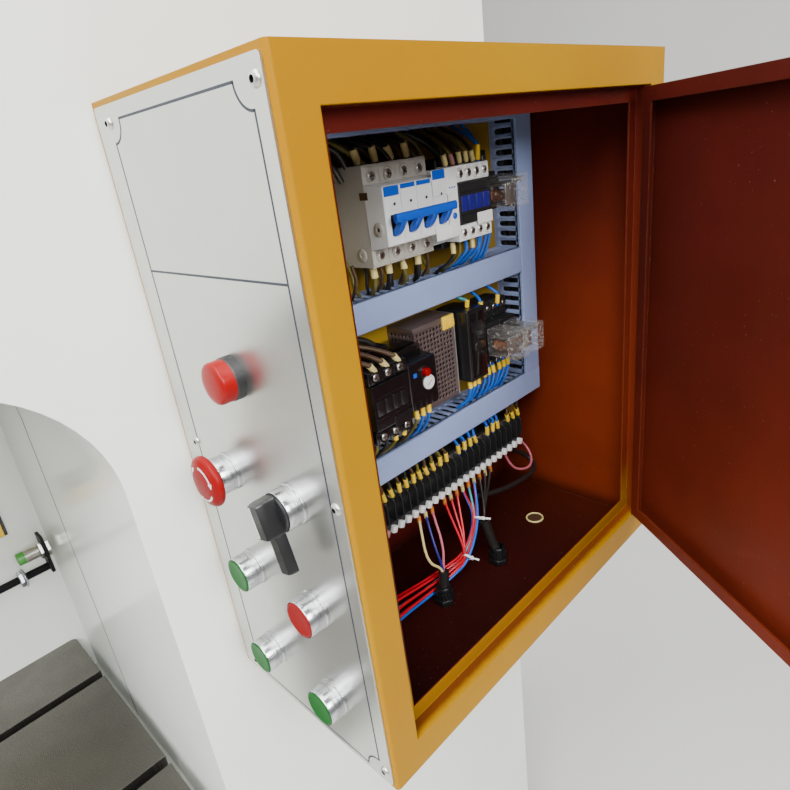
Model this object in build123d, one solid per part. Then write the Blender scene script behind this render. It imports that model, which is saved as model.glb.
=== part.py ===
from build123d import *
import math
import os

os.makedirs("parts", exist_ok=True)

# Sizes are in millimetres. The origin is on the floor at the centre of the anchor holes,
# -Y is the operator's front, +X is the operator's right and carries the control cabinet.

# Welded C-frame
plate_t = 20.0
inner_width = 422.0
throat_depth = 250.0
ram_to_front = 190.0
body_length = 496.0
base_t = 20.0
base_overhang = 50.0
table_top_z = 760.0
table_t = 60.0
daylight = 515.0
throat_radius = 120.0
jaw_radius = 30.0
head_height = 545.0
head_corner_radius = 45.0
shoulder_rise = 285.0
head_back_gap = 48.0
slope_run = 140.0
web_t = 16.0
mount_plate_t = 50.0
liner_t = 3.0
guard_t = 3.0
guard_lap = 18.0
bed_t = 40.0
anchor_radius = 9.0
anchor_inset_y = 40.0

# Work table
table_side_gap = 3.0
table_back_gap = 14.0
table_corner_radius = 8.0
slot_offset = 100.0
slot_neck = 14.0
slot_head = 24.0
slot_neck_depth = 14.0
slot_head_depth = 12.0

# Cylinder and ram
rod_radius = 35.0
bore_radius = 50.0
barrel_radius = 65.0
barrel_foot = 5.0
barrel_cap = 35.0
piston_play = 8.0
flange_radius = 95.0
flange_t = 30.0
spigot_radius = 55.0
gland_drop = 14.0
piston_t = 60.0
stroke = 300.0
ram_rest_gap = 45.0
ram_plate_t = 40.0
ram_plate_x = 300.0
ram_plate_y = 220.0
ram_boss_radius = 50.0
ram_boss_t = 30.0
shank_radius = 20.0
shank_depth = 60.0
guide_radius = 16.0
guide_offset = 120.0
guide_above = 110.0
bush_wall = 7.0
bush_flange = 6.0
running_gap = 0.06
seat_gap = 0.1

# Stroke sensing behind the ram
sensor_x = -174.0
sensor_z = 937.0
sensor_radius = 9.0
sensor_length = 40.0
sensor_tip_back = 45.0
flag_gap = 5.0
flag_t = 8.0
flag_width = 14.0
flag_below = 6.0
flag_above = 14.0

# Oil tank and drive
tank_height = 360.0
tank_wall = 5.0
lid_t = 12.0
tank_front_y = 60.0
motor_x = 85.0
motor_y = 350.0
bell_height = 84.0
motor_height = 255.0
motor_radius = 72.0
fin_height = 14.0
fin_count = 24
shaft_radius = 14.0
pipe_radius = 8.0

# Control cabinet on the right side plate, opening to the right
cab_w = 205.0
cab_d = 423.0
cab_h = 490.0
cab_z = 940.0
cab_setback = 56.0
sheet = 1.5
panel_t = 1.5
post_w = 27.3
rail_w = 28.5
fold = 15.0
lip = 12.4
bend_radius = 3.0
door_gap = 2.0
door_t = 12.5
door_open = 55.5
leaf_t = 2.5
leaf_w = 20.0
knuckle_gap = 0.4
hinge_length = 50.0
pin_radius = 2.5
knuckle_radius = 4.0

# Controls on the operator panel, measured from the cabinet's right side and its bottom edge
left_column = -135.5
right_column = -56.0
lamp_column = -96.0
button_rows = (59.5, 144.5, 232.0)
lamp_row = 314.0
bezel_radius = 14.5
cap_radius = 13.0
cap_stand = 17.0
barrel_r = 11.0
hole_play = 0.2
stem_radius = 8.0
press_travel = 4.0
stop_head_radius = 20.0

# Devices on the mounting plate
plate_x = -151.0
rail_depth = 7.5
rail_height = 35.0
duct_w = 26.0
duct_depth = 33.0
duct_wall = 1.5
slot_pitch = 10.0
slot_width = 5.0
row_upper = 390.0
row_lower = 245.0
pole_pitch = 18.0
pole_count = 4
module_w = 13.0
breaker_y = 145.0
control_y, control_w = 234.0, 48.0
motor_switch_y, motor_switch_w = 108.0, 45.0
contactor_ledge = 31.5
overload_w = 35.0
supply_y, supply_w, supply_depth = 190.0, 58.0, 33.0
timer_y, timer_w = 251.0, 28.0
relay_w, relay_h, relay_length = 21.0, 28.0, 37.0
relay_upper_y, relay_lower_y = 290.5, 282.0
socket_w = 25.0
terminal_pitch = 10.0
terminal_count = 23
wire_radius = 1.6

half_in = inner_width / 2
half_out = half_in + plate_t
front_y = -(ram_to_front + throat_depth + body_length) / 2
rear_y = -front_y
ram_y = front_y + ram_to_front
throat_y = ram_y + throat_depth
jaw_z = table_top_z - table_t
throat_z = table_top_z + daylight
head_z = throat_z + head_height
tank_top_z = throat_z + shoulder_rise
head_back_y = throat_y + head_back_gap
mount_top = throat_z + mount_plate_t
barrel_height = barrel_foot + stroke + piston_t + 2 * piston_play + barrel_cap
lid_z = tank_top_z - lid_t
cab_x = half_out + cab_w
cab_y = throat_y + cab_setback
rail_x = plate_x + rail_depth


def save(name, *solids):
    flat = [one for shape in solids for one in shape.solids()]
    whole = flat[0] if len(flat) == 1 else Compound(flat)
    export_step(whole, "parts/" + name + ".step")


def block(x0, x1, y0, y1, z0, z1):
    middle = ((x0 + x1) / 2, (y0 + y1) / 2, (z0 + z1) / 2)
    return Pos(*middle) * Box(x1 - x0, y1 - y0, z1 - z0)


def rod(start, direction, radius, length):
    plane = Plane(origin=start, z_dir=direction)
    return Solid.make_cylinder(radius, length, plane)


def turned(origin, direction, profile):
    """A solid of revolution: profile points are (radius, distance along the direction)."""
    face = make_face(Polyline(*[(r, 0, h) for r, h in profile], close=True))
    return Plane(origin=origin, z_dir=direction).location * revolve(face, Axis.Z)


def side_profile(points, x0, x1, rounds=()):
    """A plate drawn as (y, z) points and carried from x0 to x1, with some corners rounded."""
    face = make_face(Polyline(*points, close=True))
    for corner, radius in rounds:
        nearest = face.vertices().sort_by_distance((corner[0], corner[1], 0))[0]
        face = fillet(nearest, radius)
    plane = Plane(origin=(x0, 0, 0), x_dir=(0, 1, 0), z_dir=(1, 0, 0))
    return extrude(plane * face, x1 - x0)


def piped(points, radius, bend):
    """A bent tube: straight runs joined by tangent arcs, each arc turned about its own centre."""
    whole = None
    for edge in FilletPolyline(*points, radius=bend).edges():
        start = Plane(origin=edge @ 0, z_dir=edge % 0)
        if edge.geom_type == GeomType.LINE:
            piece = rod(edge @ 0, edge % 0, radius, edge.length)
        else:
            centre = Axis(edge.arc_center, (edge % 0).cross(edge % 1))
            piece = revolve(start * Circle(radius), centre, math.degrees(edge.length / bend))
        whole = piece if whole is None else whole + piece
    return whole


def hexagon(start, direction, across, length):
    plane = Plane(origin=start, z_dir=direction)
    return extrude(plane * RegularPolygon(across / math.sqrt(3), 6), length)


def cab(x, y, z):
    """A point of the cabinet, from its right side, its panel face and its bottom edge."""
    return (cab_x + x, cab_y + y, cab_z + z)


def cab_block(x0, x1, y0, y1, z0, z1):
    return Pos(*cab(0, 0, 0)) * block(x0, x1, y0, y1, z0, z1)


def corners(xs, ys):
    return [(x, y) for x in xs for y in ys]


# Base plate with its anchor holes
base_half_x = half_out + base_overhang
anchor_x = half_out + base_overhang / 2
anchor_y = rear_y - anchor_inset_y
base_plate = block(-base_half_x, base_half_x, front_y, rear_y, 0, base_t)
base_plate = fillet(base_plate.edges().filter_by(Axis.Z), 15)
for x, y in corners((-anchor_x, anchor_x), (-anchor_y, anchor_y)):
    base_plate -= rod((x, y, 0), (0, 0, 1), anchor_radius, base_t)
save("base_plate", base_plate)

# Side plates: the C outline with its throat, and a sloped shoulder behind the head
outline = [
    (front_y, base_t),
    (front_y, jaw_z),
    (throat_y, jaw_z),
    (throat_y, throat_z),
    (front_y, throat_z),
    (front_y, head_z),
    (head_back_y, head_z),
    (head_back_y + slope_run, tank_top_z),
    (rear_y, tank_top_z),
    (rear_y, base_t),
]
outline_rounds = [
    ((throat_y, jaw_z), jaw_radius),
    ((throat_y, throat_z), throat_radius),
    ((front_y, head_z), head_corner_radius),
    ((front_y, throat_z), head_corner_radius / 2),
    ((front_y, jaw_z), head_corner_radius / 3),
    ((head_back_y, head_z), head_corner_radius),
]
side_right = side_profile(outline, half_in, half_out, outline_rounds)
save("side_plate_right", side_right)
side_left = side_profile(outline, -half_out, -half_in, outline_rounds)
save("side_plate_left", side_left)

# Head cover: one plate bent over the head, front, top and back
barrel_hole = 75.0
pipe_hole = pipe_radius + 3
upper_pipe_z = mount_top + barrel_height - 30
lower_pipe_z = mount_top + flange_t + 50
upper_block_z = tank_top_z + 68
lower_block_z = tank_top_z + 30
cover_outline = [
    (front_y, throat_z), (front_y, head_z), (head_back_y, head_z), (head_back_y, tank_top_z),
    (head_back_y - web_t, tank_top_z), (head_back_y - web_t, head_z - web_t),
    (front_y + web_t, head_z - web_t), (front_y + web_t, throat_z)]
inner_corner_radius = head_corner_radius - web_t
head_cover = side_profile(cover_outline, -half_in, half_in, [
    ((front_y, head_z), head_corner_radius),
    ((head_back_y, head_z), head_corner_radius),
    ((head_back_y - web_t, head_z - web_t), inner_corner_radius),
    ((front_y + web_t, head_z - web_t), inner_corner_radius)])
head_cover -= rod((0, ram_y, head_z - web_t), (0, 0, 1), barrel_hole, web_t)
for z in (upper_block_z, lower_block_z):
    head_cover -= rod((0, head_back_y - web_t, z), (0, 1, 0), pipe_hole, web_t)
save("head_cover", head_cover)

# Cylinder mounting plate, the ceiling of the throat
liner_top_y = throat_y - throat_radius
mount_plate = block(-half_in, half_in, front_y + web_t, liner_top_y, throat_z, mount_top)
mount_plate -= rod((0, ram_y, throat_z), (0, 0, 1), spigot_radius + seat_gap, mount_plate_t)
bush_radius = guide_radius + bush_wall
for x in (-guide_offset, guide_offset):
    mount_plate -= rod((x, ram_y, throat_z), (0, 0, 1), bush_radius, mount_plate_t)
save("cylinder_mount_plate", mount_plate)

# Bed: front web and the thick shelf under the table
bed_front = block(-half_in, half_in, front_y, front_y + web_t, base_t, jaw_z)
bed_shelf = block(-half_in, half_in, front_y + web_t, throat_y, jaw_z - bed_t, jaw_z)
bed_rib = block(-web_t / 2, web_t / 2, front_y + web_t, throat_y, base_t, jaw_z - bed_t)
save("bed_plates", bed_front, bed_shelf, bed_rib)

# Liner: one sheet bent to the throat's rear edge and its upper arc
liner_x0 = -half_in + guard_t
liner_outline = [
    (throat_y, jaw_z),
    (throat_y, throat_z),
    (liner_top_y, throat_z),
    (liner_top_y, throat_z + liner_t),
    (throat_y + liner_t, throat_z + liner_t),
    (throat_y + liner_t, jaw_z),
]
liner_rounds = [
    ((throat_y, throat_z), throat_radius),
    ((throat_y + liner_t, throat_z + liner_t), throat_radius + liner_t),
]
liner = side_profile(liner_outline, liner_x0, half_in, liner_rounds)
seam_x = -54.0
seam_w = 1.2
liner -= block(seam_x, seam_x + seam_w, throat_y, throat_y + liner_t / 2, jaw_z, throat_z - throat_radius)
save("throat_liner", liner)

# Guard panel that closes the left side of the throat, set flush with the left plate's inner face
guard_front_y = front_y + 28
guard = block(-half_in, liner_x0, guard_front_y, throat_y + guard_lap, jaw_z, throat_z)
guard = fillet(guard.edges().filter_by(Axis.X).sort_by(Axis.Y)[:2], 20)
save("guard_panel", guard)

# Rear cover with rows of pressed louvres
cover_t = 2.0
cover_z0 = 40.0
cover_z1 = tank_top_z - tank_height - 20
cover_half = half_out - 6
louvre_w = 130.0
louvre_pitch = 34.0
louvre_rows = 9
louvre_out = 9.0
louvre_rise = 16.0
rear_cover = block(-cover_half, cover_half, rear_y, rear_y + cover_t, cover_z0, cover_z1)
hood = side_profile(
    [(0, 0), (louvre_out, 0), (0, louvre_rise)], -louvre_w / 2, louvre_w / 2)
hollow = side_profile(
    [(-cover_t, -1), (louvre_out - 1.6, -1), (-cover_t, louvre_rise - 1.5)],
    -louvre_w / 2 + 1.5, louvre_w / 2 - 1.5)
for column in (-100, 100):
    for row in range(louvre_rows):
        place = Pos(column, rear_y + cover_t, cover_z0 + 90 + row * louvre_pitch)
        rear_cover = rear_cover + place * hood - place * hollow
save("rear_cover", rear_cover)

# Oil tank between the side plates, with its lid
tank_z0 = lid_z - tank_height
tank = block(-half_in, half_in, tank_front_y, rear_y, tank_z0, lid_z)
tank -= block(-half_in + tank_wall, half_in - tank_wall, tank_front_y + tank_wall,
              rear_y - tank_wall, tank_z0 + tank_wall, lid_z)
save("oil_tank", tank)
manifold_x0, manifold_x1 = -55.0, 55.0
manifold_y0, manifold_y1 = 110.0, 210.0
manifold_h = 90.0
manifold_x = (manifold_x0 + manifold_x1) / 2
manifold_y = (manifold_y0 + manifold_y1) / 2
filler_x, filler_y, filler_neck = -110.0, 390.0, 24.0
pump_bore = 32.0
lid = block(-half_in, half_in, head_back_y - web_t, rear_y, lid_z, tank_top_z)
lid -= rod((motor_x, motor_y, lid_z), (0, 0, 1), pump_bore, lid_t)
lid -= rod((filler_x, filler_y, lid_z), (0, 0, 1), filler_neck, lid_t)
lid -= rod((manifold_x, manifold_y, lid_z), (0, 0, 1), pipe_radius + 1, lid_t)
save("tank_lid", lid)

# Work table with two T-slots from front to back
table_x0 = -half_in + guard_t
table_x1 = half_in - table_side_gap
table = block(table_x0, table_x1, front_y, throat_y - table_back_gap, jaw_z, table_top_z)
table = fillet(table.edges().filter_by(Axis.Z), table_corner_radius)
for x in (-slot_offset, slot_offset):
    neck_z = table_top_z - slot_neck_depth
    table -= block(x - slot_neck / 2, x + slot_neck / 2, front_y, throat_y, neck_z, table_top_z)
    table -= block(x - slot_head / 2, x + slot_head / 2, front_y, throat_y,
                   neck_z - slot_head_depth, neck_z)
save("work_table", table)

# Hydraulic cylinder standing on the mounting plate
gland_z = throat_z - gland_drop
barrel_top = mount_top + barrel_height
inner_top = barrel_top - barrel_cap
inner_bottom = mount_top + barrel_foot
port_length = 12.0
barrel = turned((0, ram_y, 0), (0, 0, 1), [
    (rod_radius + 1, throat_z), (spigot_radius, throat_z), (spigot_radius, mount_top),
    (flange_radius, mount_top), (flange_radius, mount_top + flange_t),
    (barrel_radius + 4, mount_top + flange_t), (barrel_radius, mount_top + flange_t + 8),
    (barrel_radius, barrel_top - 6), (barrel_radius - 6, barrel_top), (0, barrel_top),
    (0, inner_top), (bore_radius, inner_top), (bore_radius, inner_bottom),
    (rod_radius + 1, inner_bottom)])
for z in (upper_pipe_z, lower_pipe_z):
    barrel += rod((0, ram_y + barrel_radius - 4, z), (0, 1, 0), 16, port_length + 4)
save("cylinder_barrel", barrel)

# Bolts: the cylinder's flange ring and the rear cover's edges
bolts = []
bolt_ring = (barrel_radius + flange_radius) / 2 + 2
for index in range(8):
    angle = math.radians(22.5 + 45 * index)
    place = (bolt_ring * math.cos(angle), ram_y + bolt_ring * math.sin(angle), mount_top + flange_t)
    bolts.append(hexagon(place, (0, 0, 1), 18, 8))
cover_rows = (cover_z0 + 14, (cover_z0 + cover_z1) / 2, cover_z1 - 14)
for x, z in corners((-cover_half + 14, cover_half - 14), cover_rows):
    bolts.append(hexagon((x, rear_y + cover_t, z), (0, 1, 0), 10, 4))
save("frame_bolts", *bolts)

# Bushes: the rod gland under the mounting plate and the two flanged guide bushes
ram_top = throat_z - ram_rest_gap
gland = turned((0, ram_y, 0), (0, 0, 1), [
    (rod_radius + running_gap, gland_z), (spigot_radius - 5, gland_z), (spigot_radius + 8, gland_z + 5),
    (spigot_radius + 8, throat_z), (rod_radius + running_gap, throat_z)])
bushes = [gland]
for x in (-guide_offset, guide_offset):
    bushes.append(turned((x, ram_y, 0), (0, 0, 1), [
        (guide_radius + running_gap, throat_z - bush_flange), (bush_radius + 7, throat_z - bush_flange),
        (bush_radius + 7, throat_z), (bush_radius, throat_z), (bush_radius, mount_top),
        (guide_radius + running_gap, mount_top)]))
save("ram_bushes", *bushes)

# Ram: rod with its piston, plate with the shank socket, guide rods and the sensing flag
piston_z = inner_top - piston_t - piston_play
piston_rod = turned((0, ram_y, 0), (0, 0, 1), [
    (0, ram_top), (rod_radius, ram_top), (rod_radius, piston_z),
    (bore_radius - running_gap, piston_z), (bore_radius - running_gap, piston_z + piston_t),
    (0, piston_z + piston_t)])
save("piston_rod", piston_rod)

ram_z = ram_top - ram_plate_t
boss_z = ram_z - ram_boss_t
ram_plate = block(-ram_plate_x / 2, ram_plate_x / 2, ram_y - ram_plate_y / 2, ram_y + ram_plate_y / 2,
                  ram_z, ram_top)
ram_plate = fillet(ram_plate.edges().filter_by(Axis.Z), 18)
ram_plate += rod((0, ram_y, boss_z), (0, 0, 1), ram_boss_radius, ram_boss_t)
ram_plate -= rod((0, ram_y, boss_z), (0, 0, 1), shank_radius, shank_depth)
clamp_z = boss_z + ram_boss_t / 2
ram_plate -= rod((0, ram_y - ram_boss_radius - 1, clamp_z), (0, 1, 0), 5, ram_boss_radius)
save("ram_plate", ram_plate)

guide_length = mount_top - ram_top + stroke + guide_above
guides = [rod((x, ram_y, ram_top), (0, 0, 1), guide_radius, guide_length)
          for x in (-guide_offset, guide_offset)]
save("guide_rods", *guides)

sensor_tip_y = throat_y - sensor_tip_back
flag_y1 = sensor_tip_y - flag_gap
flag_y0 = flag_y1 - flag_t
flag_x0 = sensor_x - flag_width / 2
flag_x1 = sensor_x + flag_width / 2
foot_y = ram_y + ram_plate_y / 2 - 50
foot_w = 32.0
flag_foot = block(flag_x0, -ram_plate_x / 2 + 30, foot_y, foot_y + foot_w, ram_top, ram_top + flag_t)
flag_arm = block(flag_x0, flag_x1, foot_y, flag_y1, ram_top, ram_top + flag_t)
flag_bar = block(flag_x0, flag_x1, flag_y0, flag_y1, ram_top - flag_below, ram_top + flag_above)
flag = flag_foot + flag_arm + flag_bar
save("stroke_flag", flag)

# Sensor carrier: a threaded rod in a clamp block, a flat bracket, a flange nut and the light bar
rod_z = sensor_z - 28
bracket_y = sensor_tip_y + sensor_length - 6
arm_radius = 5.5
clamp_y = flag_y1 - 125
clamp_half = 11.0
light_bar_w = 22.0
bracket = block(sensor_x - 12.5, sensor_x + 12.5, bracket_y - 4, bracket_y, rod_z - 12, sensor_z + 22)
bracket = fillet(bracket.edges().filter_by(Axis.Y), 3)
bracket -= rod((sensor_x, bracket_y - 4, sensor_z), (0, 1, 0), sensor_radius + seat_gap, 4)
arm = rod((sensor_x, clamp_y - 20, rod_z), (0, 1, 0), arm_radius, bracket_y - 4 - clamp_y + 20)
clamp = block(liner_x0, sensor_x + 14, clamp_y, clamp_y + 26, rod_z - clamp_half, rod_z + clamp_half)
clamp -= rod((sensor_x, clamp_y, rod_z), (0, 1, 0), arm_radius, 26)
nut_y = sensor_tip_y - 3
flange_nut = turned((sensor_x, nut_y, rod_z), (0, 1, 0), [
    (arm_radius, -5), (9, -5), (9, 0), (12, 0), (12, 3), (arm_radius, 3)])
light_bar = block(liner_x0, liner_x0 + light_bar_w, guard_front_y + 60, sensor_tip_y + 8,
                  sensor_z + 30, sensor_z + 72)
light_bar = fillet(light_bar.edges().filter_by(Axis.Y).sort_by(Axis.X)[-2:], 4)
save("sensor_arm", bracket, arm, clamp, flange_nut, light_bar)

sensor = turned((sensor_x, sensor_tip_y, sensor_z), (0, 1, 0), [
    (0, 0), (sensor_radius - 0.6, 0), (sensor_radius - 0.6, 9), (sensor_radius, 9),
    (sensor_radius, sensor_length), (0, sensor_length)])
for y in (bracket_y - 4 - 5, bracket_y):
    nut = Plane(origin=(sensor_x, y, sensor_z), z_dir=(0, 1, 0)).location * extrude(RegularPolygon(13, 6), 5)
    sensor += nut
save("proximity_sensor", sensor)

# Motor on its bell housing, above the pump that hangs in the tank
shaft_gap = shaft_radius + running_gap
bell_top = tank_top_z + bell_height
motor_top = bell_top + motor_height
core_radius = 50.0
bell = turned((motor_x, motor_y, tank_top_z), (0, 0, 1), [
    (48, 0), (90, 0), (90, 10), (62, 18), (56, bell_height - 14), (90, bell_height - 8),
    (90, bell_height), (48, bell_height)])
bell_bore = rod((motor_x, motor_y, tank_top_z), (0, 0, 1), 44, bell_height)
bell = bell - bell_bore
bell -= block(motor_x - 20, motor_x + 20, motor_y - 80, motor_y + 80, tank_top_z + 26, tank_top_z + 62)
save("bell_housing", bell)

motor = turned((motor_x, motor_y, bell_top), (0, 0, 1), [
    (shaft_gap, 0), (90, 0), (90, 10), (motor_radius, 16), (motor_radius, motor_height - 12),
    (motor_radius - 8, motor_height), (shaft_gap, motor_height), (shaft_gap, motor_height - 22),
    (core_radius + 2, motor_height - 22), (core_radius + 2, 24), (shaft_gap, 24)])
for index in range(fin_count):
    turn = 360 / fin_count * (index + 0.5)
    fin = block(motor_radius - 2, motor_radius + fin_height, -1.5, 1.5, 22, motor_height - 18)
    motor += Pos(motor_x, motor_y, bell_top) * (Rot(0, 0, turn) * fin)
terminal_box = block(motor_x - 40, motor_x + 40, motor_y - motor_radius - 52, motor_y - motor_radius + 4,
                     bell_top + 110, bell_top + 190)
terminal_box = fillet(terminal_box.edges().filter_by(Axis.Y), 8)
motor += terminal_box
save("motor_housing", motor)

fan_z = motor_top + 14
cowl_height = 62.0
cowl_r = motor_radius + fin_height + 0.5
cowl = turned((motor_x, motor_y, motor_top - 26), (0, 0, 1), [
    (cowl_r, 0), (cowl_r + 2, 0), (cowl_r + 2, cowl_height + 12), (cowl_r - 8, cowl_height + 26),
    (0, cowl_height + 26), (0, cowl_height + 24), (cowl_r - 9, cowl_height + 24), (cowl_r, cowl_height + 11)])
for index in range(12):
    slot = block(22, 66, -3, 3, cowl_height - 12, cowl_height + 2)
    cowl -= Pos(motor_x, motor_y, motor_top) * (Rot(0, 0, 30 * index) * slot)
save("fan_cover", cowl)

rotor_bottom = tank_top_z + 6
rotor_profile = [
    (0, rotor_bottom), (24, rotor_bottom), (30, rotor_bottom + 4), (30, rotor_bottom + 62),
    (shaft_radius, rotor_bottom + 66), (shaft_radius, bell_top + 26), (core_radius, bell_top + 26),
    (core_radius, motor_top - 24), (shaft_radius, motor_top - 24), (shaft_radius, fan_z),
    (22, fan_z), (22, fan_z + 18), (0, fan_z + 18)]
rotor = turned((motor_x, motor_y, 0), (0, 0, 1), rotor_profile)
blade = Rot(28, 0, 0) * block(20, 66, -1.5, 1.5, -9, 9)
for index in range(8):
    rotor += Pos(motor_x, motor_y, fan_z + 9) * (Rot(0, 0, 45 * index) * blade)
save("motor_rotor", rotor)

pump_z = tank_z0 + 120
pump = rod((motor_x, motor_y, pump_z), (0, 0, 1), 42, lid_z - 60 - pump_z)
pump += rod((motor_x, motor_y, lid_z - 60), (0, 0, 1), 30, 60 + lid_t)
pump += rod((motor_x, motor_y, tank_z0 + 30), (0, 0, 1), 24, pump_z - tank_z0 - 30)
pump_port_z = pump_z + 50
pump += rod((motor_x, motor_y - 38, pump_port_z), (0, -1, 0), 13, 14)
save("gear_pump", pump)

# Valve group on the lid
manifold = block(manifold_x0, manifold_x1, manifold_y0, manifold_y1, tank_top_z, tank_top_z + manifold_h)
manifold = chamfer(manifold.edges().filter_by(Axis.Z), 3)
manifold += rod((manifold_x, manifold_y1, tank_top_z + 45), (0, 1, 0), 16, 26)
save("valve_manifold", manifold)
valve_z = tank_top_z + manifold_h
valve = block(manifold_x - 24, manifold_x + 24, manifold_y - 36, manifold_y + 36, valve_z, valve_z + 48)
for side in (-1, 1):
    start = (manifold_x, manifold_y + side * 36, valve_z + 26)
    valve += rod(start, (0, side, 0), 12, 60)
    near, far = sorted((manifold_y + side * 42, manifold_y + side * 84))
    coil = block(manifold_x - 22, manifold_x + 22, near, far, valve_z + 4, valve_z + 48)
    valve += fillet(coil.edges().filter_by(Axis.Y), 8)
    valve += block(manifold_x - 14, manifold_x + 14, near + 10, far - 10, valve_z + 48, valve_z + 76)
save("solenoid_valve", valve)

knob_y = manifold_y1 + 26
relief_knob = turned((manifold_x, knob_y + 0.4, tank_top_z + 45), (0, 1, 0), [
    (0, 0), (15, 0), (17, 3), (17, 20), (14, 24), (0, 24)])
for index in range(8):
    flute = rod((18.2, 0, -1), (0, 0, 1), 2, 30)
    place = Plane(origin=(manifold_x, knob_y, tank_top_z + 45), z_dir=(0, 1, 0)).location
    relief_knob -= place * (Rot(0, 0, 45 * index) * flute)
save("relief_knob", relief_knob)

gauge_y = manifold_y
gauge_z = tank_top_z + 56
gauge_radius = 32.0
gauge = turned((manifold_x1, gauge_y, gauge_z), (1, 0, 0), [
    (0, 0), (8, 0), (8, 14), (gauge_radius - 4, 14), (gauge_radius, 18), (gauge_radius, 40),
    (gauge_radius - 3, 43), (gauge_radius - 3, 34), (1.6, 34), (1.6, 30), (0, 30)])
save("pressure_gauge", gauge)
needle_x = manifold_x1 + 34.5
needle = rod((needle_x - 4, gauge_y, gauge_z), (1, 0, 0), 1.5, 7)
needle += block(needle_x, needle_x + 1, gauge_y - 1.2, gauge_y + 1.2, gauge_z - 8, gauge_z + 21)
needle += rod((needle_x, gauge_y, gauge_z), (1, 0, 0), 4, 3)
needle = Pos(needle_x, gauge_y, gauge_z) * (Rot(120, 0, 0) * (Pos(-needle_x, -gauge_y, -gauge_z) * needle))
save("gauge_needle", needle)

# Pressure pipes: two from the block to the cylinder, one from the pump up through the lid
port_y = ram_y + barrel_radius + port_length
pipe_bend = 24.0
upper_pipe = piped([
    (0, manifold_y0, upper_block_z), (0, port_y + 110, upper_block_z),
    (0, port_y + 110, upper_pipe_z), (0, port_y, upper_pipe_z)], pipe_radius, pipe_bend)
lower_pipe = piped([
    (0, manifold_y0, lower_block_z), (0, port_y + 60, lower_block_z),
    (0, port_y + 60, lower_pipe_z), (0, port_y, lower_pipe_z)], pipe_radius, pipe_bend)
pump_pipe = piped([
    (motor_x, motor_y - 52, pump_port_z), (motor_x, manifold_y, pump_port_z),
    (manifold_x, manifold_y, pump_port_z), (manifold_x, manifold_y, tank_top_z)], pipe_radius, pipe_bend)
save("hydraulic_pipes", upper_pipe, lower_pipe, pump_pipe)

# Filler: neck ring and strainer are part of the lid's cap, which turns a quarter in its neck
filler_cap = turned((filler_x, filler_y, tank_top_z), (0, 0, 1), [
    (0, -40), (filler_neck - 4, -40), (filler_neck - 4, 0.4), (34, 0.4), (34, 8), (30, 10), (30, 34),
    (26, 40), (0, 40)])
save("filler_cap", filler_cap)

level_x = -140.0
level_gauge = block(level_x - 14, level_x + 14, rear_y, rear_y + 16, tank_z0 + 70, tank_z0 + 250)
level_gauge = fillet(level_gauge.edges().filter_by(Axis.Y), 8)
level_gauge -= block(level_x - 6, level_x + 6, rear_y + 10, rear_y + 16, tank_z0 + 98, tank_z0 + 222)
save("level_gauge", level_gauge)

# Cabinet shell: a folded box whose opening has an inward fold and a lip all round
shell_y0 = panel_t
shell_y1 = panel_t + cab_d
open_y0, open_y1 = post_w, shell_y1 - post_w
open_z0, open_z1 = rail_w, cab_h - rail_w
shell = block(-cab_w, 0, shell_y0, shell_y1, 0, cab_h)
shell = fillet(shell.edges().filter_by(Axis.Z).sort_by(Axis.X)[-2:], bend_radius)
shell -= block(-cab_w + sheet, -sheet, shell_y0 + sheet, shell_y1 - sheet, sheet, cab_h - sheet)
shell -= block(-sheet, 0, open_y0, open_y1, open_z0, open_z1)
collar = block(-fold, -sheet, open_y0 - sheet, open_y1 + sheet, open_z0 - sheet, open_z1 + sheet)
collar -= block(-fold, -sheet, open_y0, open_y1, open_z0, open_z1)
lip_ring = block(-fold, -fold + sheet, open_y0, open_y1, open_z0, open_z1)
lip_ring -= block(-fold, -fold + sheet, open_y0 + lip, open_y1 - lip, open_z0 + lip, open_z1 - lip)
shell = shell + collar + lip_ring

control_places = [(left_column, button_rows[0]), (right_column, button_rows[0]),
                  (left_column, button_rows[1]), (right_column, button_rows[1]),
                  (left_column, button_rows[2]), (right_column, button_rows[2]),
                  (lamp_column, lamp_row)]
for x, z in control_places:
    shell -= rod((x, 0, z), (0, 1, 0), barrel_r + hole_play, 5)
gland_places = [(-101.0, 175.0), (-94.0, 259.0)]
spare_hole = (-106.0, 351.0)
gland_radius = 9.0
for x, y in gland_places + [spare_hole]:
    shell -= rod((x, y, 0), (0, 0, 1), gland_radius + seat_gap, sheet)
plate_y0, plate_y1 = 14.0, 392.0
plate_z0, plate_z1 = 92.0, 474.0
plate_sheet = 2.0
stud_radius = 6.0
stud_inset = 12.0
stud_length = cab_w - sheet + plate_x - plate_sheet
stud_y = (plate_y0 + stud_inset, plate_y1 - stud_inset)
stud_z = (plate_z0 + stud_inset, plate_z1 - stud_inset)
for y, z in corners(stud_y, stud_z):
    shell += rod((-cab_w + sheet, y, z), (1, 0, 0), stud_radius, stud_length)

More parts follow.
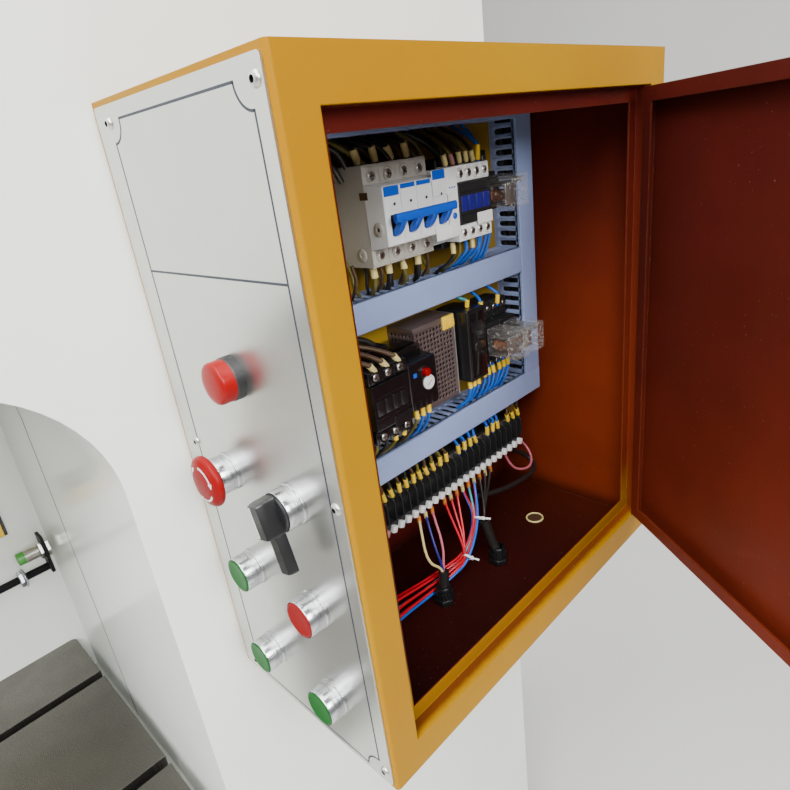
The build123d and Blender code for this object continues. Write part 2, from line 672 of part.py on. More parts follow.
hinge_x = leaf_t + knuckle_radius - 0.8
hinge_y = open_y1 + 3
leaf_gap = knuckle_radius + 1
hinge_z = (70.0, cab_h - 70.0)
third = hinge_length / 3
hinge_pins = []
for z in hinge_z:
    low = z - hinge_length / 2
    shell += block(0, leaf_t, hinge_y + leaf_gap, hinge_y + leaf_w, low, low + hinge_length)
    for z0 in (low, low + 2 * third):
        shell += block(0, leaf_t, hinge_y, hinge_y + leaf_gap, z0, z0 + third)
        shell += rod((hinge_x, hinge_y, z0), (0, 0, 1), knuckle_radius, third)
        shell -= rod((hinge_x, hinge_y, z0), (0, 0, 1), pin_radius, third)
    pin = rod((hinge_x, hinge_y, low), (0, 0, 1), pin_radius, hinge_length)
    pin += rod((hinge_x, hinge_y, low + hinge_length), (0, 0, 1), pin_radius + 1, 2)
    hinge_pins.append(Pos(*cab(0, 0, 0)) * pin)
save("cabinet_shell", Pos(*cab(0, 0, 0)) * shell)
save("hinge_pins", *hinge_pins)

# Door: a folded tray that shuts inside the opening, modelled shut and then swung open about its pins
door_y0, door_y1 = open_y0 + door_gap, open_y1 - door_gap
door_z0, door_z1 = open_z0 + door_gap, open_z1 - door_gap
return_lip = 12.0
door = block(-door_t, 0, door_y0, door_y1, door_z0, door_z1)
door = fillet(door.edges().filter_by(Axis.Z).sort_by(Axis.X)[-2:], bend_radius)
door -= block(-door_t, -sheet, door_y0 + sheet, door_y1 - sheet, door_z0 + sheet, door_z1 - sheet)
door_return = block(-door_t, sheet - door_t, door_y0, door_y1, door_z0, door_z1)
door_return -= block(-door_t, sheet - door_t, door_y0 + return_lip, door_y1 - return_lip,
                     door_z0 + return_lip, door_z1 - return_lip)
door += door_return
for z in hinge_z:
    low = z - hinge_length / 2
    finger_z0, finger_z1 = low + third + knuckle_gap, low + 2 * third - knuckle_gap
    door += block(0, leaf_t, hinge_y - leaf_w - 4, hinge_y - leaf_gap, low, low + hinge_length)
    door += block(0.6, leaf_t + 0.6, hinge_y - leaf_gap - 4, hinge_y, finger_z0, finger_z1)
    door += rod((hinge_x, hinge_y, finger_z0), (0, 0, 1), knuckle_radius, finger_z1 - finger_z0)
    door -= rod((hinge_x, hinge_y, finger_z0), (0, 0, 1), pin_radius + running_gap, third)
latch_y = open_y0 + lip + 13
latch_z = cab_h / 2
latch_radius = 9.0
door -= rod((-sheet, latch_y, latch_z), (1, 0, 0), latch_radius + running_gap, sheet)
swing = Pos(hinge_x, hinge_y, 0) * Rot(0, 0, door_open) * Pos(-hinge_x, -hinge_y, 0)
save("cabinet_door", Pos(*cab(0, 0, 0)) * (swing * door))

# Quarter-turn latch: knob outside, tongue inside that ends up behind the opening's lip
latch = turned((0, latch_y, latch_z), (1, 0, 0), [
    (0, -fold - 6), (4, -fold - 6), (4, -sheet - 3), (latch_radius, -sheet - 3),
    (latch_radius, 0.4), (14, 0.4), (14, 5), (11, 7), (0, 7)])
latch += block(6, 16, latch_y - 3, latch_y + 3, latch_z - 12, latch_z + 12)
latch += block(-fold - 5, -fold - 2, latch_y - 6, latch_y + 6, latch_z - 6, latch_z + 26)
save("door_latch", Pos(*cab(0, 0, 0)) * (swing * latch))

# Operator panel over the cabinet's front
panel = block(-200, -3.5, 0, panel_t, 4, cab_h - 4)
panel = fillet(panel.edges().filter_by(Axis.Y), 3)
for x, z in control_places:
    panel -= rod((x, 0, z), (0, 1, 0), barrel_r + hole_play, panel_t)
save("operator_panel", Pos(*cab(0, 0, 0)) * panel)


# Push buttons, stop button and selector. Heights are measured out of the panel, towards the operator
def control_at(x, z, profile):
    return turned(cab(x, 0, z), (0, -1, 0), profile)


def contact_block(x, z):
    return cab_block(x - 14, x + 14, shell_y0 + sheet + 8, shell_y0 + sheet + 50, z - 12, z + 12)


def bezel_at(x, z, rim, pocket):
    stem_hole = stem_radius + 0.3
    flange = bezel_radius + 0.7
    profile = [(stem_hole, -20), (barrel_r, -20), (barrel_r, 0), (flange, 0), (flange, 3), (bezel_radius, 3),
               (bezel_radius, rim)]
    if pocket < rim:
        profile += [(cap_radius + 0.3, rim), (cap_radius + 0.3, pocket)]
    ring = control_at(x, z, profile + [(stem_hole, pocket)])
    plunger_hole = control_at(x, z, [(0, -20), (stem_hole, -20), (stem_hole, 0), (0, 0)])
    return ring + (contact_block(x, z) - plunger_hole)


def cap_at(x, z):
    return control_at(x, z, [
        (0, -12), (stem_radius, -12), (stem_radius, cap_stand - 6), (cap_radius, cap_stand - 6),
        (cap_radius, cap_stand - 0.8), (cap_radius - 1, cap_stand), (0, cap_stand)])


rim_height = 16.0
bezels = [bezel_at(x, z, rim_height, cap_stand - 6 - press_travel - 1)
          for x, z in control_places[:4]]
stop_collar = 12.0
collar_radius = 12.5
collar_cut = control_at(left_column, button_rows[2], [
    (collar_radius, 3), (bezel_radius + 1, 3), (bezel_radius + 1, stop_collar), (collar_radius, stop_collar)])
bezels.append(bezel_at(left_column, button_rows[2], stop_collar, stop_collar) - collar_cut)
bezels.append(bezel_at(right_column, button_rows[2], 13, 7))
save("button_bezels", *bezels)

save("down_button", cap_at(*control_places[0]))
save("return_button", cap_at(*control_places[1]))
save("start_button", cap_at(*control_places[2]))
save("stop_button", cap_at(*control_places[3]))

emergency_stop = control_at(left_column, button_rows[2], [
    (0, -12), (stem_radius, -12), (stem_radius, 20), (13.2, 20), (13.2, 13), (18, 13.2), (19.6, 14.6),
    (stop_head_radius, 17), (19.2, 19.5), (15, 22.5), (9, 24.3), (0, 25)])
save("emergency_stop", emergency_stop)

lever_x, lever_z = control_places[5]
knob = control_at(lever_x, lever_z, [
    (0, -12), (stem_radius, -12), (stem_radius, 8), (cap_radius, 8), (cap_radius, 15.5), (0, 15.5)])
bar = cab_block(lever_x - 6.5, lever_x + 6.5, -29, -15.5, lever_z - 41, lever_z + 13)
bar = fillet(bar.edges().filter_by(Axis.Y), 3)
knob += Pos(*cab(lever_x, 0, lever_z)) * (Rot(0, 9, 0) * (Pos(*[-c for c in cab(lever_x, 0, lever_z)]) * bar))
save("selector_lever", knob)

lamp = control_at(lamp_column, lamp_row, [
    (0, -28), (barrel_r, -28), (barrel_r, 0), (bezel_radius + 0.8, 0), (bezel_radius + 0.8, 5),
    (bezel_radius - 1, 5), (bezel_radius - 1, 14), (bezel_radius - 2.5, 16), (0, 17)])
save("pilot_lamp", lamp)

# Mounting plate with its hat rails, on four studs welded to the shell's back
mounting_plate = cab_block(plate_x - plate_sheet, plate_x, plate_y0, plate_y1, plate_z0, plate_z1)


def hat_rail(y0, y1, z):
    web = cab_block(plate_x, plate_x + 1, y0, y1, z - 12.5, z + 12.5)
    for side in (-1, 1):
        near, far = sorted((z + side * 12.5, z + side * 11.5))
        web += cab_block(plate_x, rail_x, y0, y1, near, far)
        near, far = sorted((z + side * 11.5, z + side * rail_height / 2))
        web += cab_block(rail_x - 1, rail_x, y0, y1, near, far)
    return web


upper_rail = (breaker_y - 35, relay_upper_y + socket_w + 6, row_upper)
left_rail = (motor_switch_y - 4, supply_y - 1, row_lower)
right_rail = (supply_y + supply_w + 2, relay_lower_y + 54, row_lower)
for y0, y1, z in (upper_rail, left_rail, right_rail):
    mounting_plate += hat_rail(y0, y1, z)
save("mounting_plate", mounting_plate)


# Slotted trunking: each run is a channel with combed walls, closed by a snap-on cover
def trunk(length):
    """A channel along +Y from the origin, open towards +X, with its walls at z = 0 and duct_w."""
    depth = duct_depth - duct_wall
    channel = block(0, depth, 0, length, 0, duct_w)
    channel -= block(duct_wall, depth, 0, length, duct_wall, duct_w - duct_wall)
    count = int((length - slot_width) / slot_pitch)
    first = (length - (count - 1) * slot_pitch) / 2
    for index in range(count):
        y = first + index * slot_pitch
        channel -= block(7, depth - 3, y - slot_width / 2, y + slot_width / 2, -1, duct_w + 1)
    cover = block(depth, duct_depth, 0, length, 0, duct_w)
    return [channel, cover]


duct_right = 391.0
duct_upper_z = 300.0
duct_lower_z = 158.0
duct_top_z = 448.0
duct_left = 64.0
upright_y = duct_right - duct_w
level_runs = [(duct_lower_z, duct_right), (duct_upper_z, upright_y), (duct_top_z, upright_y)]
ducts = []
for z, y1 in level_runs:
    for piece in trunk(y1 - duct_left):
        ducts.append(Pos(*cab(plate_x, duct_left, z)) * piece)
upright_length = plate_z1 - duct_lower_z - duct_w
for piece in trunk(upright_length):
    ducts.append(Pos(*cab(plate_x, duct_right, duct_lower_z + duct_w)) * (Rot(90, 0, 0) * piece))
save("wiring_ducts", *ducts)


# Devices. Sections are drawn in the cabinet's (x, z) and carried along y
def section(points, y0, y1):
    placed = [cab(x, y0, z) for x, z in points]
    return extrude(make_face(Polyline(*placed, close=True)), y1 - y0, dir=(0, 1, 0))


breaker_w = pole_count * pole_pitch
breaker_top, breaker_bottom = row_upper + 39, row_upper - 38
toggle_top, toggle_bottom = row_upper + 23, row_upper - 21
step_x, nose_x = rail_x + 36.5, rail_x + 56.5
pivot_x, pivot_z = nose_x - 8, row_upper - 9
breaker = section([
    (rail_x, breaker_bottom), (step_x, breaker_bottom), (step_x, toggle_bottom), (nose_x, toggle_bottom),
    (nose_x, toggle_top), (step_x, toggle_top), (step_x, breaker_top), (rail_x, breaker_top)],
    breaker_y, breaker_y + breaker_w)
for pole in range(pole_count):
    middle = breaker_y + pole_pitch * (pole + 0.5)
    breaker -= cab_block(pivot_x - 8, nose_x, middle - 3.8, middle + 3.8, pivot_z - 8, pivot_z + 11)
    if pole:
        edge = breaker_y + pole_pitch * pole
        breaker -= cab_block(nose_x - 1, nose_x, edge - 0.4, edge + 0.4, toggle_bottom, toggle_top)
module_top, module_bottom = toggle_top + 4, breaker_bottom + 4
side_module = section([
    (rail_x, module_bottom), (step_x, module_bottom), (nose_x, toggle_bottom - 6),
    (nose_x + 1, toggle_bottom - 3), (nose_x + 1, toggle_top), (nose_x - 2, module_top),
    (rail_x, module_top)],
    breaker_y + breaker_w, breaker_y + breaker_w + module_w)
save("breaker_body", breaker, side_module)

handle_x = nose_x + 6.5
handle_half = 3.5
handle = cab_block(handle_x, handle_x + 5, breaker_y + 1, breaker_y + breaker_w - 1,
                   row_upper - handle_half, row_upper + handle_half)
handle = fillet(handle.edges().filter_by(Axis.Y), 2)
for pole in range(pole_count):
    middle = breaker_y + pole_pitch * (pole + 0.5)
    handle += rod(cab(pivot_x, middle - handle_half, pivot_z), (0, 1, 0), 5.5, 2 * handle_half)
    handle += section([
        (pivot_x - 2, pivot_z + 3.5), (pivot_x + 3, pivot_z - 3), (handle_x + 4.5, row_upper - 3),
        (handle_x + 1.5, row_upper + 2.8)], middle - handle_half, middle + handle_half)
save("breaker_handle", handle)


def contactor(y0, width, z, front_x, body_half, terminal_half, foot_half):
    """A contactor's section: a deep middle, lower terminal ledges and a foot on the rail."""
    ledge_x = rail_x + contactor_ledge
    outline = [(rail_x, z - foot_half), (ledge_x, z - foot_half), (ledge_x, z - terminal_half),
               (front_x, z - terminal_half), (front_x, z - body_half), (front_x + 2, z - body_half),
               (front_x + 2, z + body_half), (front_x, z + body_half), (front_x, z + terminal_half),
               (ledge_x, z + terminal_half), (ledge_x, z + foot_half), (rail_x, z + foot_half)]
    return section(outline, y0, y0 + width)


contactor_front = rail_x + 51.5
contactor_upper = contactor(control_y, control_w, row_upper - 3, contactor_front, 17, 31, 37.5)
contactor_lower = contactor(motor_switch_y, motor_switch_w, row_lower, contactor_front, 20, 32, 40)
save("contactors", contactor_upper, contactor_lower)

overload_y0 = motor_switch_y + motor_switch_w + 1
overload_y1 = overload_y0 + overload_w
overload_front = contactor_front
overload_ledge = rail_x + contactor_ledge
reset_y, reset_z = overload_y0 + 19, row_lower + 13
reset_radius, reset_depth, reset_out = 3.8, 6.0, 5.0
overload = section([
    (rail_x, row_lower - 39), (overload_ledge, row_lower - 39), (overload_ledge, row_lower - 31),
    (overload_front, row_lower - 31), (overload_front, row_lower + 25), (overload_ledge + 4, row_lower + 25),
    (overload_ledge + 4, row_lower + 31), (rail_x, row_lower + 31)], overload_y0, overload_y1)
reset_back = overload_front - 2 * reset_depth
overload -= rod(cab(reset_back, reset_y, reset_z), (1, 0, 0), reset_radius + 0.4, 2 * reset_depth)
overload += rod(cab(overload_front, reset_y, row_lower + 1), (1, 0, 0), 5.5, 2.5)
save("overload_relay", overload)
save("overload_reset", rod(cab(overload_front - reset_depth, reset_y, reset_z), (1, 0, 0), reset_radius,
                           reset_depth + reset_out))

supply_x = plate_x + supply_depth
supply_z0, supply_z1 = row_lower - 41, row_lower + 42
supply = cab_block(plate_x, supply_x, supply_y, supply_y + supply_w, supply_z0, supply_z1)
supply = fillet(supply.edges().filter_by(Axis.Z).sort_by(Axis.X)[-2:], 1.5)
supply -= cab_block(plate_x + 12, supply_x, supply_y + 4, supply_y + supply_w - 4, supply_z1 - 12, supply_z1)
vent_y = [supply_y + 8 + 7 * column for column in range(int((supply_w - 9) / 7))]
vent_z = [supply_z0 + 8 + 7.6 * row for row in range(8)]
for y, z in corners(vent_y, vent_z):
    supply -= cab_block(supply_x - 1.2, supply_x, y - 2, y + 2, z - 2, z + 2)
save("power_supply", supply)

relay_x0 = rail_x + 35.5
relay_x1 = relay_x0 + relay_length
socket_ledge = relay_x0 - 10
sockets = []
relays = []
relay_pitch = 26.5
relay_places = ((relay_upper_y, row_upper), (relay_lower_y, row_lower + 2),
                (relay_lower_y + relay_pitch, row_lower + 2))
for y, z in relay_places:
    sockets.append(section([
        (rail_x, z - 36), (socket_ledge, z - 36), (socket_ledge, z - 17), (relay_x0, z - 17),
        (relay_x0, z + 17), (socket_ledge, z + 17), (socket_ledge, z + 36), (rail_x, z + 36)],
        y - 2, y - 2 + socket_w))
    relay = cab_block(relay_x0, relay_x1, y, y + relay_w, z - relay_h / 2, z + relay_h / 2)
    relays.append(fillet(relay.edges().filter_by(Axis.X), 1.5))
timer = cab_block(rail_x, relay_x0 + 4, timer_y, timer_y + timer_w, row_lower - 30, row_lower + 42)
sockets.append(chamfer(timer.faces().sort_by(Axis.X)[-1].edges(), 2))
save("relay_sockets", *sockets)
save("plug_relays", *relays)

# Terminal strip: a barrier strip with a row of markers along its lower front edge
strip_y0 = 122.0
strip_y1 = strip_y0 + terminal_count * terminal_pitch
strip_z0, strip_z1 = 94.0, 138.0
strip_front = plate_x + 21
marker_x = strip_front + 8
barrier_t = 1.4
strip = section([
    (plate_x, strip_z0), (strip_front, strip_z0), (strip_front, strip_z0 + 6), (marker_x, strip_z0 + 6),
    (marker_x, strip_z0 + 18), (strip_front, strip_z0 + 18), (strip_front, strip_z1), (plate_x, strip_z1)],
    strip_y0, strip_y1)
for index in range(terminal_count + 1):
    middle = min(max(strip_y0 + index * terminal_pitch, strip_y0 + barrier_t / 2), strip_y1 - barrier_t / 2)
    strip += cab_block(strip_front, marker_x + 3, middle - barrier_t / 2, middle + barrier_t / 2,
                       strip_z0 + 18, strip_z1 - 3)
markers = cab_block(marker_x, marker_x + 5, strip_y0 + 1, strip_y1 - 1, strip_z0 + 8, strip_z0 + 16)
save("terminal_strip", strip, markers)

# Cable glands through the cabinet floor
gland_bore = 5.2
glands = []
for x, y in gland_places:
    body = turned(cab(x, y, 0), (0, 0, 1), [
        (gland_bore, -18), (gland_radius, -18), (gland_radius, 14), (7.5, 22), (gland_bore, 22)])
    for z0, z1 in ((-14, 0), (sheet, 8)):
        body += hexagon(cab(x, y, z0), (0, 0, 1), 22, z1 - z0) - rod(
            cab(x, y, z0), (0, 0, 1), gland_radius - 0.5, z1 - z0)
    glands.append(body)
save("cable_glands", *glands)

# Wires of the cabinet: drops between devices and trunking, and two looms into the glands
wires = []


def drop(x, y, z0, z1):
    wires.append(hexagon(cab(x, y, z0), (0, 0, 1), 2 * wire_radius, z1 - z0))


wire_x = step_x - 6
upper_bay = (duct_upper_z + duct_w, duct_top_z)
lower_bay = (duct_lower_z + duct_w, duct_upper_z)
for pole in range(pole_count):
    y = breaker_y + pole_pitch * (pole + 0.5)
    drop(wire_x, y, breaker_top, upper_bay[1])
    drop(wire_x, y, upper_bay[0], breaker_bottom)
for index in range(4):
    y = control_y + 6.5 + index * 11
    drop(wire_x - 5, y, row_upper + 34.5, upper_bay[1])
    drop(wire_x - 5, y, upper_bay[0], row_upper - 40.5)
for index in range(3):
    drop(wire_x - 5, overload_y0 + 6.5 + index * 11, lower_bay[0], row_lower - 39)
    drop(wire_x - 5, motor_switch_y + 6.5 + index * 13, row_lower + 40, lower_bay[1])
for y in (relay_lower_y, relay_lower_y + relay_pitch):
    for index in range(3):
        drop(socket_ledge - 6, y + 1 + index * 7, lower_bay[0], row_lower - 34)
for index in range(terminal_count):
    drop(plate_x + 15, strip_y0 + (index + 0.5) * terminal_pitch, strip_z1, duct_lower_z)

loom_radius = 5.0
loom_bend = 9.0
looms = []
for x, y in gland_places:
    route = [cab(plate_x + 11, y + 22, strip_z0 - 10), cab(plate_x + 23, y + 12, 64),
             cab(x, y, 44), cab(x, y, -30)]
    looms.append(piped(route, loom_radius, loom_bend))
save("wires", *wires, *looms)
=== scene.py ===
import math

import bmesh
import bpy
import numpy as np
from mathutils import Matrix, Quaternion, Vector


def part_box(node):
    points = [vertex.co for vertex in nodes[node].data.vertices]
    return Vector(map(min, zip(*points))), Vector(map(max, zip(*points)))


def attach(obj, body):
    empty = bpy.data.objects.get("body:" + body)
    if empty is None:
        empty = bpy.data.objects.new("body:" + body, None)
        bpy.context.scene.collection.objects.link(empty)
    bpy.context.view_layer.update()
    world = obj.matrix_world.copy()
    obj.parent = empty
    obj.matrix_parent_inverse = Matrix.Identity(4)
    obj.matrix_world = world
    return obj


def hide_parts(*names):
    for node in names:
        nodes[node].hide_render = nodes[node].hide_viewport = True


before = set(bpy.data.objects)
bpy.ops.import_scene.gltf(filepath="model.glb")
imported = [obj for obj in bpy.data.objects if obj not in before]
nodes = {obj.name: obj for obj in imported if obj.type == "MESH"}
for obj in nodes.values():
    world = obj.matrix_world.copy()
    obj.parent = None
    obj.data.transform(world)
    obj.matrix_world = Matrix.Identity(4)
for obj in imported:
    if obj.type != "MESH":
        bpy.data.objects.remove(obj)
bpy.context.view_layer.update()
print("frame loaded,", len(nodes), "nodes")

# Lengths in this file are millimetres
mm = 0.001


class Sizes(dict):
    # the values that a user may change, read as size.width
    __getattr__ = dict.__getitem__


# The cabinet's own corner is worked out from its panel
panelInset = Sizes(side=3.5, foot=4)
panelLow, panelHigh = (np.array(corner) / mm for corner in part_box("operator_panel"))
cabCorner = np.array([panelHigh[0] + panelInset.side, panelLow[1], panelLow[2] - panelInset.foot])


def nodeBox(name):
    # the low and the high corner of a node
    return [np.array(corner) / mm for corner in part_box(name)]


def cab(x, y, z):
    # a point of the cabinet: out of its side, back from its panel, up from its foot
    return cabCorner + np.array([x, y, z], float)


# Camera first: it stands where the photographer stood, in front of the open cabinet
camera = Sizes(place=(248.6, -178.3, 439), target=(-160.2, 198, 212.5), roll=-7.6, lens=27.56, film=36,
    clip=(0.02, 40))


def aimed(place, target, roll=0):
    # the turn that looks from place to target, then rolls about the line of sight
    sight = Vector(target) - Vector(place)
    return sight.to_track_quat("-Z", "Y") @ Quaternion((0, 0, 1), math.radians(roll))


lens = bpy.data.cameras.new("camera")
lens.lens = camera.lens
lens.sensor_width = camera.film
lens.clip_start, lens.clip_end = camera.clip
eye = bpy.data.objects.new("camera", lens)
eye.rotation_mode = "QUATERNION"
eye.location = cab(*camera.place) * mm
eye.rotation_quaternion = aimed(eye.location, cab(*camera.target) * mm, camera.roll)
bpy.context.scene.collection.objects.link(eye)
bpy.context.scene.camera = eye
print("camera placed")


# Shapes: points in millimetres with their faces, worked out as whole arrays
class Form:
    # + joins two forms, and every move gives a new form
    def __init__(self, points, faces):
        self.points = np.asarray(points, float).reshape(-1, 3)
        self.faces = [np.asarray(block) for block in faces if len(block)]

    def __add__(self, other):
        # the other's points follow these, so its faces count from there
        shift = len(self.points)
        return Form(np.vstack([self.points, other.points]),
            self.faces + [block + shift for block in other.faces])

    def moved(self, offset):
        # every point shifted by one offset
        return Form(self.points + np.asarray(offset, float), self.faces)

    def turned(self, axis, degrees, about=(0, 0, 0)):
        # each point turned about an axis through a place
        spin = np.array(Quaternion(Vector(axis), math.radians(degrees)).to_matrix())
        about = np.asarray(about, float)
        return Form((self.points - about) @ spin.T + about, self.faces)

    def along(self, origin, direction):
        # +Z of the form is laid along a direction, and its origin goes to a place
        spin = np.array(Vector(direction).to_track_quat("Z", "Y").to_matrix())
        return Form(self.points @ spin.T + np.asarray(origin, float), self.faces)

    def repeated(self, offsets):
        # one copy at each offset
        offsets = np.asarray(offsets, float).reshape(-1, 1, 3)
        count = len(self.points)
        shifts = np.arange(len(offsets)).reshape(-1, 1, 1) * count
        points = (self.points[None] + offsets).reshape(-1, 3)
        return Form(points, [(block[None] + shifts).reshape(-1, block.shape[1]) for block in self.faces])


def together(forms):
    # one form of a list, or the form that is given
    if isinstance(forms, Form):
        return forms
    whole = forms[0]
    for form in forms[1:]:
        whole = whole + form
    return whole


def placed(parts, origin):
    # parts are (form, finish) pairs, with one form or a list; their own origin goes to a place
    return [(together(form).moved(origin), finish) for form, finish in parts]


def gridFaces(rows, columns, wrap):
    # quads between neighbouring rows; wrap joins the last column to the first
    row = np.arange(rows - 1)[:, None] * columns
    side = np.arange(columns if wrap else columns - 1)[None, :]
    right = (side + 1) % columns
    return np.stack([row + side, row + right, row + columns + right, row + columns + side], -1).reshape(-1, 4)


def capped(rows, columns, flip=1):
    # the faces of a closed tube of rows, with both its ends; flip turns the ends' winding over
    first = np.arange(columns)[None]
    last = first + (rows - 1) * columns
    return [gridFaces(rows, columns, True), first[:, ::-flip], last[:, ::flip]]


def stacked(rows, closed=True):
    # outlines of (a, b), each at its own level c, joined into one skin
    points = np.stack([np.column_stack([shape, np.full(len(shape), level)]) for shape, level in rows])
    size = points.shape[:2]
    return Form(points, capped(*size) if closed else [gridFaces(*size, True)])


def unit(vectors):
    # each row divided by its own length
    return vectors / np.maximum(np.linalg.norm(vectors, axis=-1, keepdims=True), 1e-9)


def eased(profile, radius, steps=3, closed=False):
    # every corner becomes a short parabola between points one radius away from it
    profile = np.asarray(profile, float)
    before, after = np.roll(profile, 1, 0), np.roll(profile, -1, 0)
    intoCorner, outOfCorner = profile - before, after - profile
    lengthIn = np.linalg.norm(intoCorner, axis=1, keepdims=True)
    lengthOut = np.linalg.norm(outOfCorner, axis=1, keepdims=True)
    cut = np.minimum(np.minimum(lengthIn, lengthOut) * 0.45,
        np.reshape(radius, (-1, 1)) * np.ones((len(profile), 1)))
    start = profile - cut * intoCorner / np.maximum(lengthIn, 1e-9)
    end = profile + cut * outOfCorner / np.maximum(lengthOut, 1e-9)
    t = np.linspace(0, 1, steps + 1).reshape(1, -1, 1)
    curve = (1 - t) ** 2 * start[:, None] + 2 * t * (1 - t) * profile[:, None] + t ** 2 * end[:, None]
    if not closed:
        curve[0], curve[-1] = profile[0], profile[-1]
    return curve.reshape(-1, profile.shape[1])


def lathe(profile, steps=72, ring=False):
    # (radius, height) points carried round +Z; a ring's profile closes on itself
    profile = np.asarray(profile, float)
    if ring:
        profile = np.vstack([profile, profile[:1]])
    angle = np.arange(steps) * 2 * np.pi / steps
    points = np.stack([profile[:, :1] * np.cos(angle), profile[:, :1] * np.sin(angle),
        profile[:, 1:] * np.ones(steps)], -1)
    return Form(points, [gridFaces(len(profile), steps, True)])


def block(low, high, radius=0.5, steps=2):
    # a box with eighths of a ball for corners: middle + side x (half - radius) + radius x direction
    low, high = np.asarray(low, float), np.asarray(high, float)
    low, high = np.minimum(low, high), np.maximum(low, high)
    half = (high - low) / 2
    radius = min(radius, half.min() * 0.96)
    quarter = np.linspace(0, np.pi / 2, steps + 1)
    turn = (np.arange(4)[:, None] * np.pi / 2 + quarter).ravel()
    rise = np.concatenate([quarter - np.pi / 2, quarter])
    sideX = np.repeat([1, -1, -1, 1], steps + 1)
    sideY = np.repeat([1, 1, -1, -1], steps + 1)
    sideZ = np.repeat([-1, 1], steps + 1)
    flat = np.cos(rise)[:, None]
    core = half - radius
    x = sideX * core[0] + radius * flat * np.cos(turn)
    y = sideY * core[1] + radius * flat * np.sin(turn)
    z = (sideZ * core[2] + radius * np.sin(rise))[:, None] + np.zeros_like(turn)
    points = np.stack([x, y, z], -1)
    return Form(points + (low + high) / 2, capped(*points.shape[:2]))


def inset(outline, distance):
    # each corner of a closed outline moves inwards along the mean of its two edge normals
    ahead = unit(np.roll(outline, -1, 0) - outline)
    normal = np.stack([-ahead[:, 1], ahead[:, 0]], -1)
    mean = normal + np.roll(normal, 1, 0)
    mean = mean / np.maximum((mean ** 2).sum(1, keepdims=True), 0.5)
    area = (outline[:, 0] * np.roll(outline[:, 1], -1) - np.roll(outline[:, 0], -1) * outline[:, 1]).sum()
    return outline + 2 * mean * distance * np.sign(area)


def prism(outline, start, end, bevel=0.4, corner=0):
    # a closed outline of (a, b) carried along c from start to end, with both end edges broken
    outline = np.asarray(outline, float)
    if corner:
        outline = eased(outline, corner, 3, closed=True)
    small = inset(outline, bevel)
    return stacked([(small, start), (outline, start + bevel), (outline, end - bevel), (small, end)])


def sideOn(form):
    # a prism drawn in (x, z) and carried along y: its third axis becomes y
    return Form(form.points[:, [0, 2, 1]], form.faces)


def strand(points, samples=10):
    # a quadratic B-spline through the middles of its control runs, with both ends held
    points = np.asarray(points, float)
    middles = (points[:-1] + points[1:]) / 2
    starts = np.vstack([points[:1], middles[1:]])[:len(points) - 2]
    ends = np.vstack([middles[1:-1], points[-1:]])
    corners = points[1:-1]
    t = np.linspace(0, 1, samples, endpoint=False).reshape(1, -1, 1)
    curve = (1 - t) ** 2 * starts[:, None] + 2 * t * (1 - t) * corners[:, None] + t ** 2 * ends[:, None]
    return np.vstack([curve.reshape(-1, 3), points[-1:]])


def tube(path, radius, steps=8):
    # circles square to a path; their first side keeps away from the path's own direction
    path = np.asarray(path, float)
    tangent = unit(np.gradient(path, axis=0))
    side = unit(np.cross(tangent, np.eye(3)[np.abs(tangent).max(0).argmin()]))
    other = np.cross(tangent, side)
    angle = np.arange(steps)[:, None] * 2 * np.pi / steps
    spokes = side[:, None] * np.cos(angle) + other[:, None] * np.sin(angle)
    return Form(path[:, None] + radius * spokes, capped(len(path), steps, -1))


def ribbon(path, across, width, lift):
    # a thin strip: half its width to each side of a path, raised by lift
    across = np.asarray(across, float)
    side = np.cross(unit(np.gradient(path, axis=0)), across) * width / 2
    rows = np.stack([path - side, path - side + across * lift, path + side + across * lift, path + side], 1)
    return Form(rows, capped(len(path), 4, -1))


# Edges that bend by more than this many degrees stay sharp
creaseAngle = 35


def piece(name, body, parts, replaces=()):
    # one object of all its parts: doubles are merged, and faces turned outwards
    parts = placed(parts, (0, 0, 0))
    used = list(dict.fromkeys(finish for form, finish in parts))
    faces, marks, shift = [], [], 0
    for form, finish in parts:
        for rows in form.faces:
            faces += (rows + shift).tolist()
            marks += [used.index(finish)] * len(rows)
        shift += len(form.points)
    mesh = bpy.data.meshes.new(name)
    mesh.from_pydata(np.vstack([form.points for form, finish in parts]) * mm, [], faces)
    mesh.polygons.foreach_set("material_index", marks)
    work = bmesh.new()
    work.from_mesh(mesh)
    bmesh.ops.remove_doubles(work, verts=work.verts, dist=1e-6)
    bmesh.ops.dissolve_degenerate(work, edges=work.edges, dist=1e-7)
    bmesh.ops.recalc_face_normals(work, faces=work.faces)
    work.to_mesh(mesh)
    work.free()
    for finish in used:
        mesh.materials.append(finishes[finish])
    mesh.shade_smooth()
    mesh.set_sharp_from_angle(angle=math.radians(creaseAngle))
    made = bpy.data.objects.new(name, mesh)
    bpy.context.scene.collection.objects.link(made)
    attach(made, body)
    if replaces:
        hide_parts(*replaces)


print("shape tools ready")

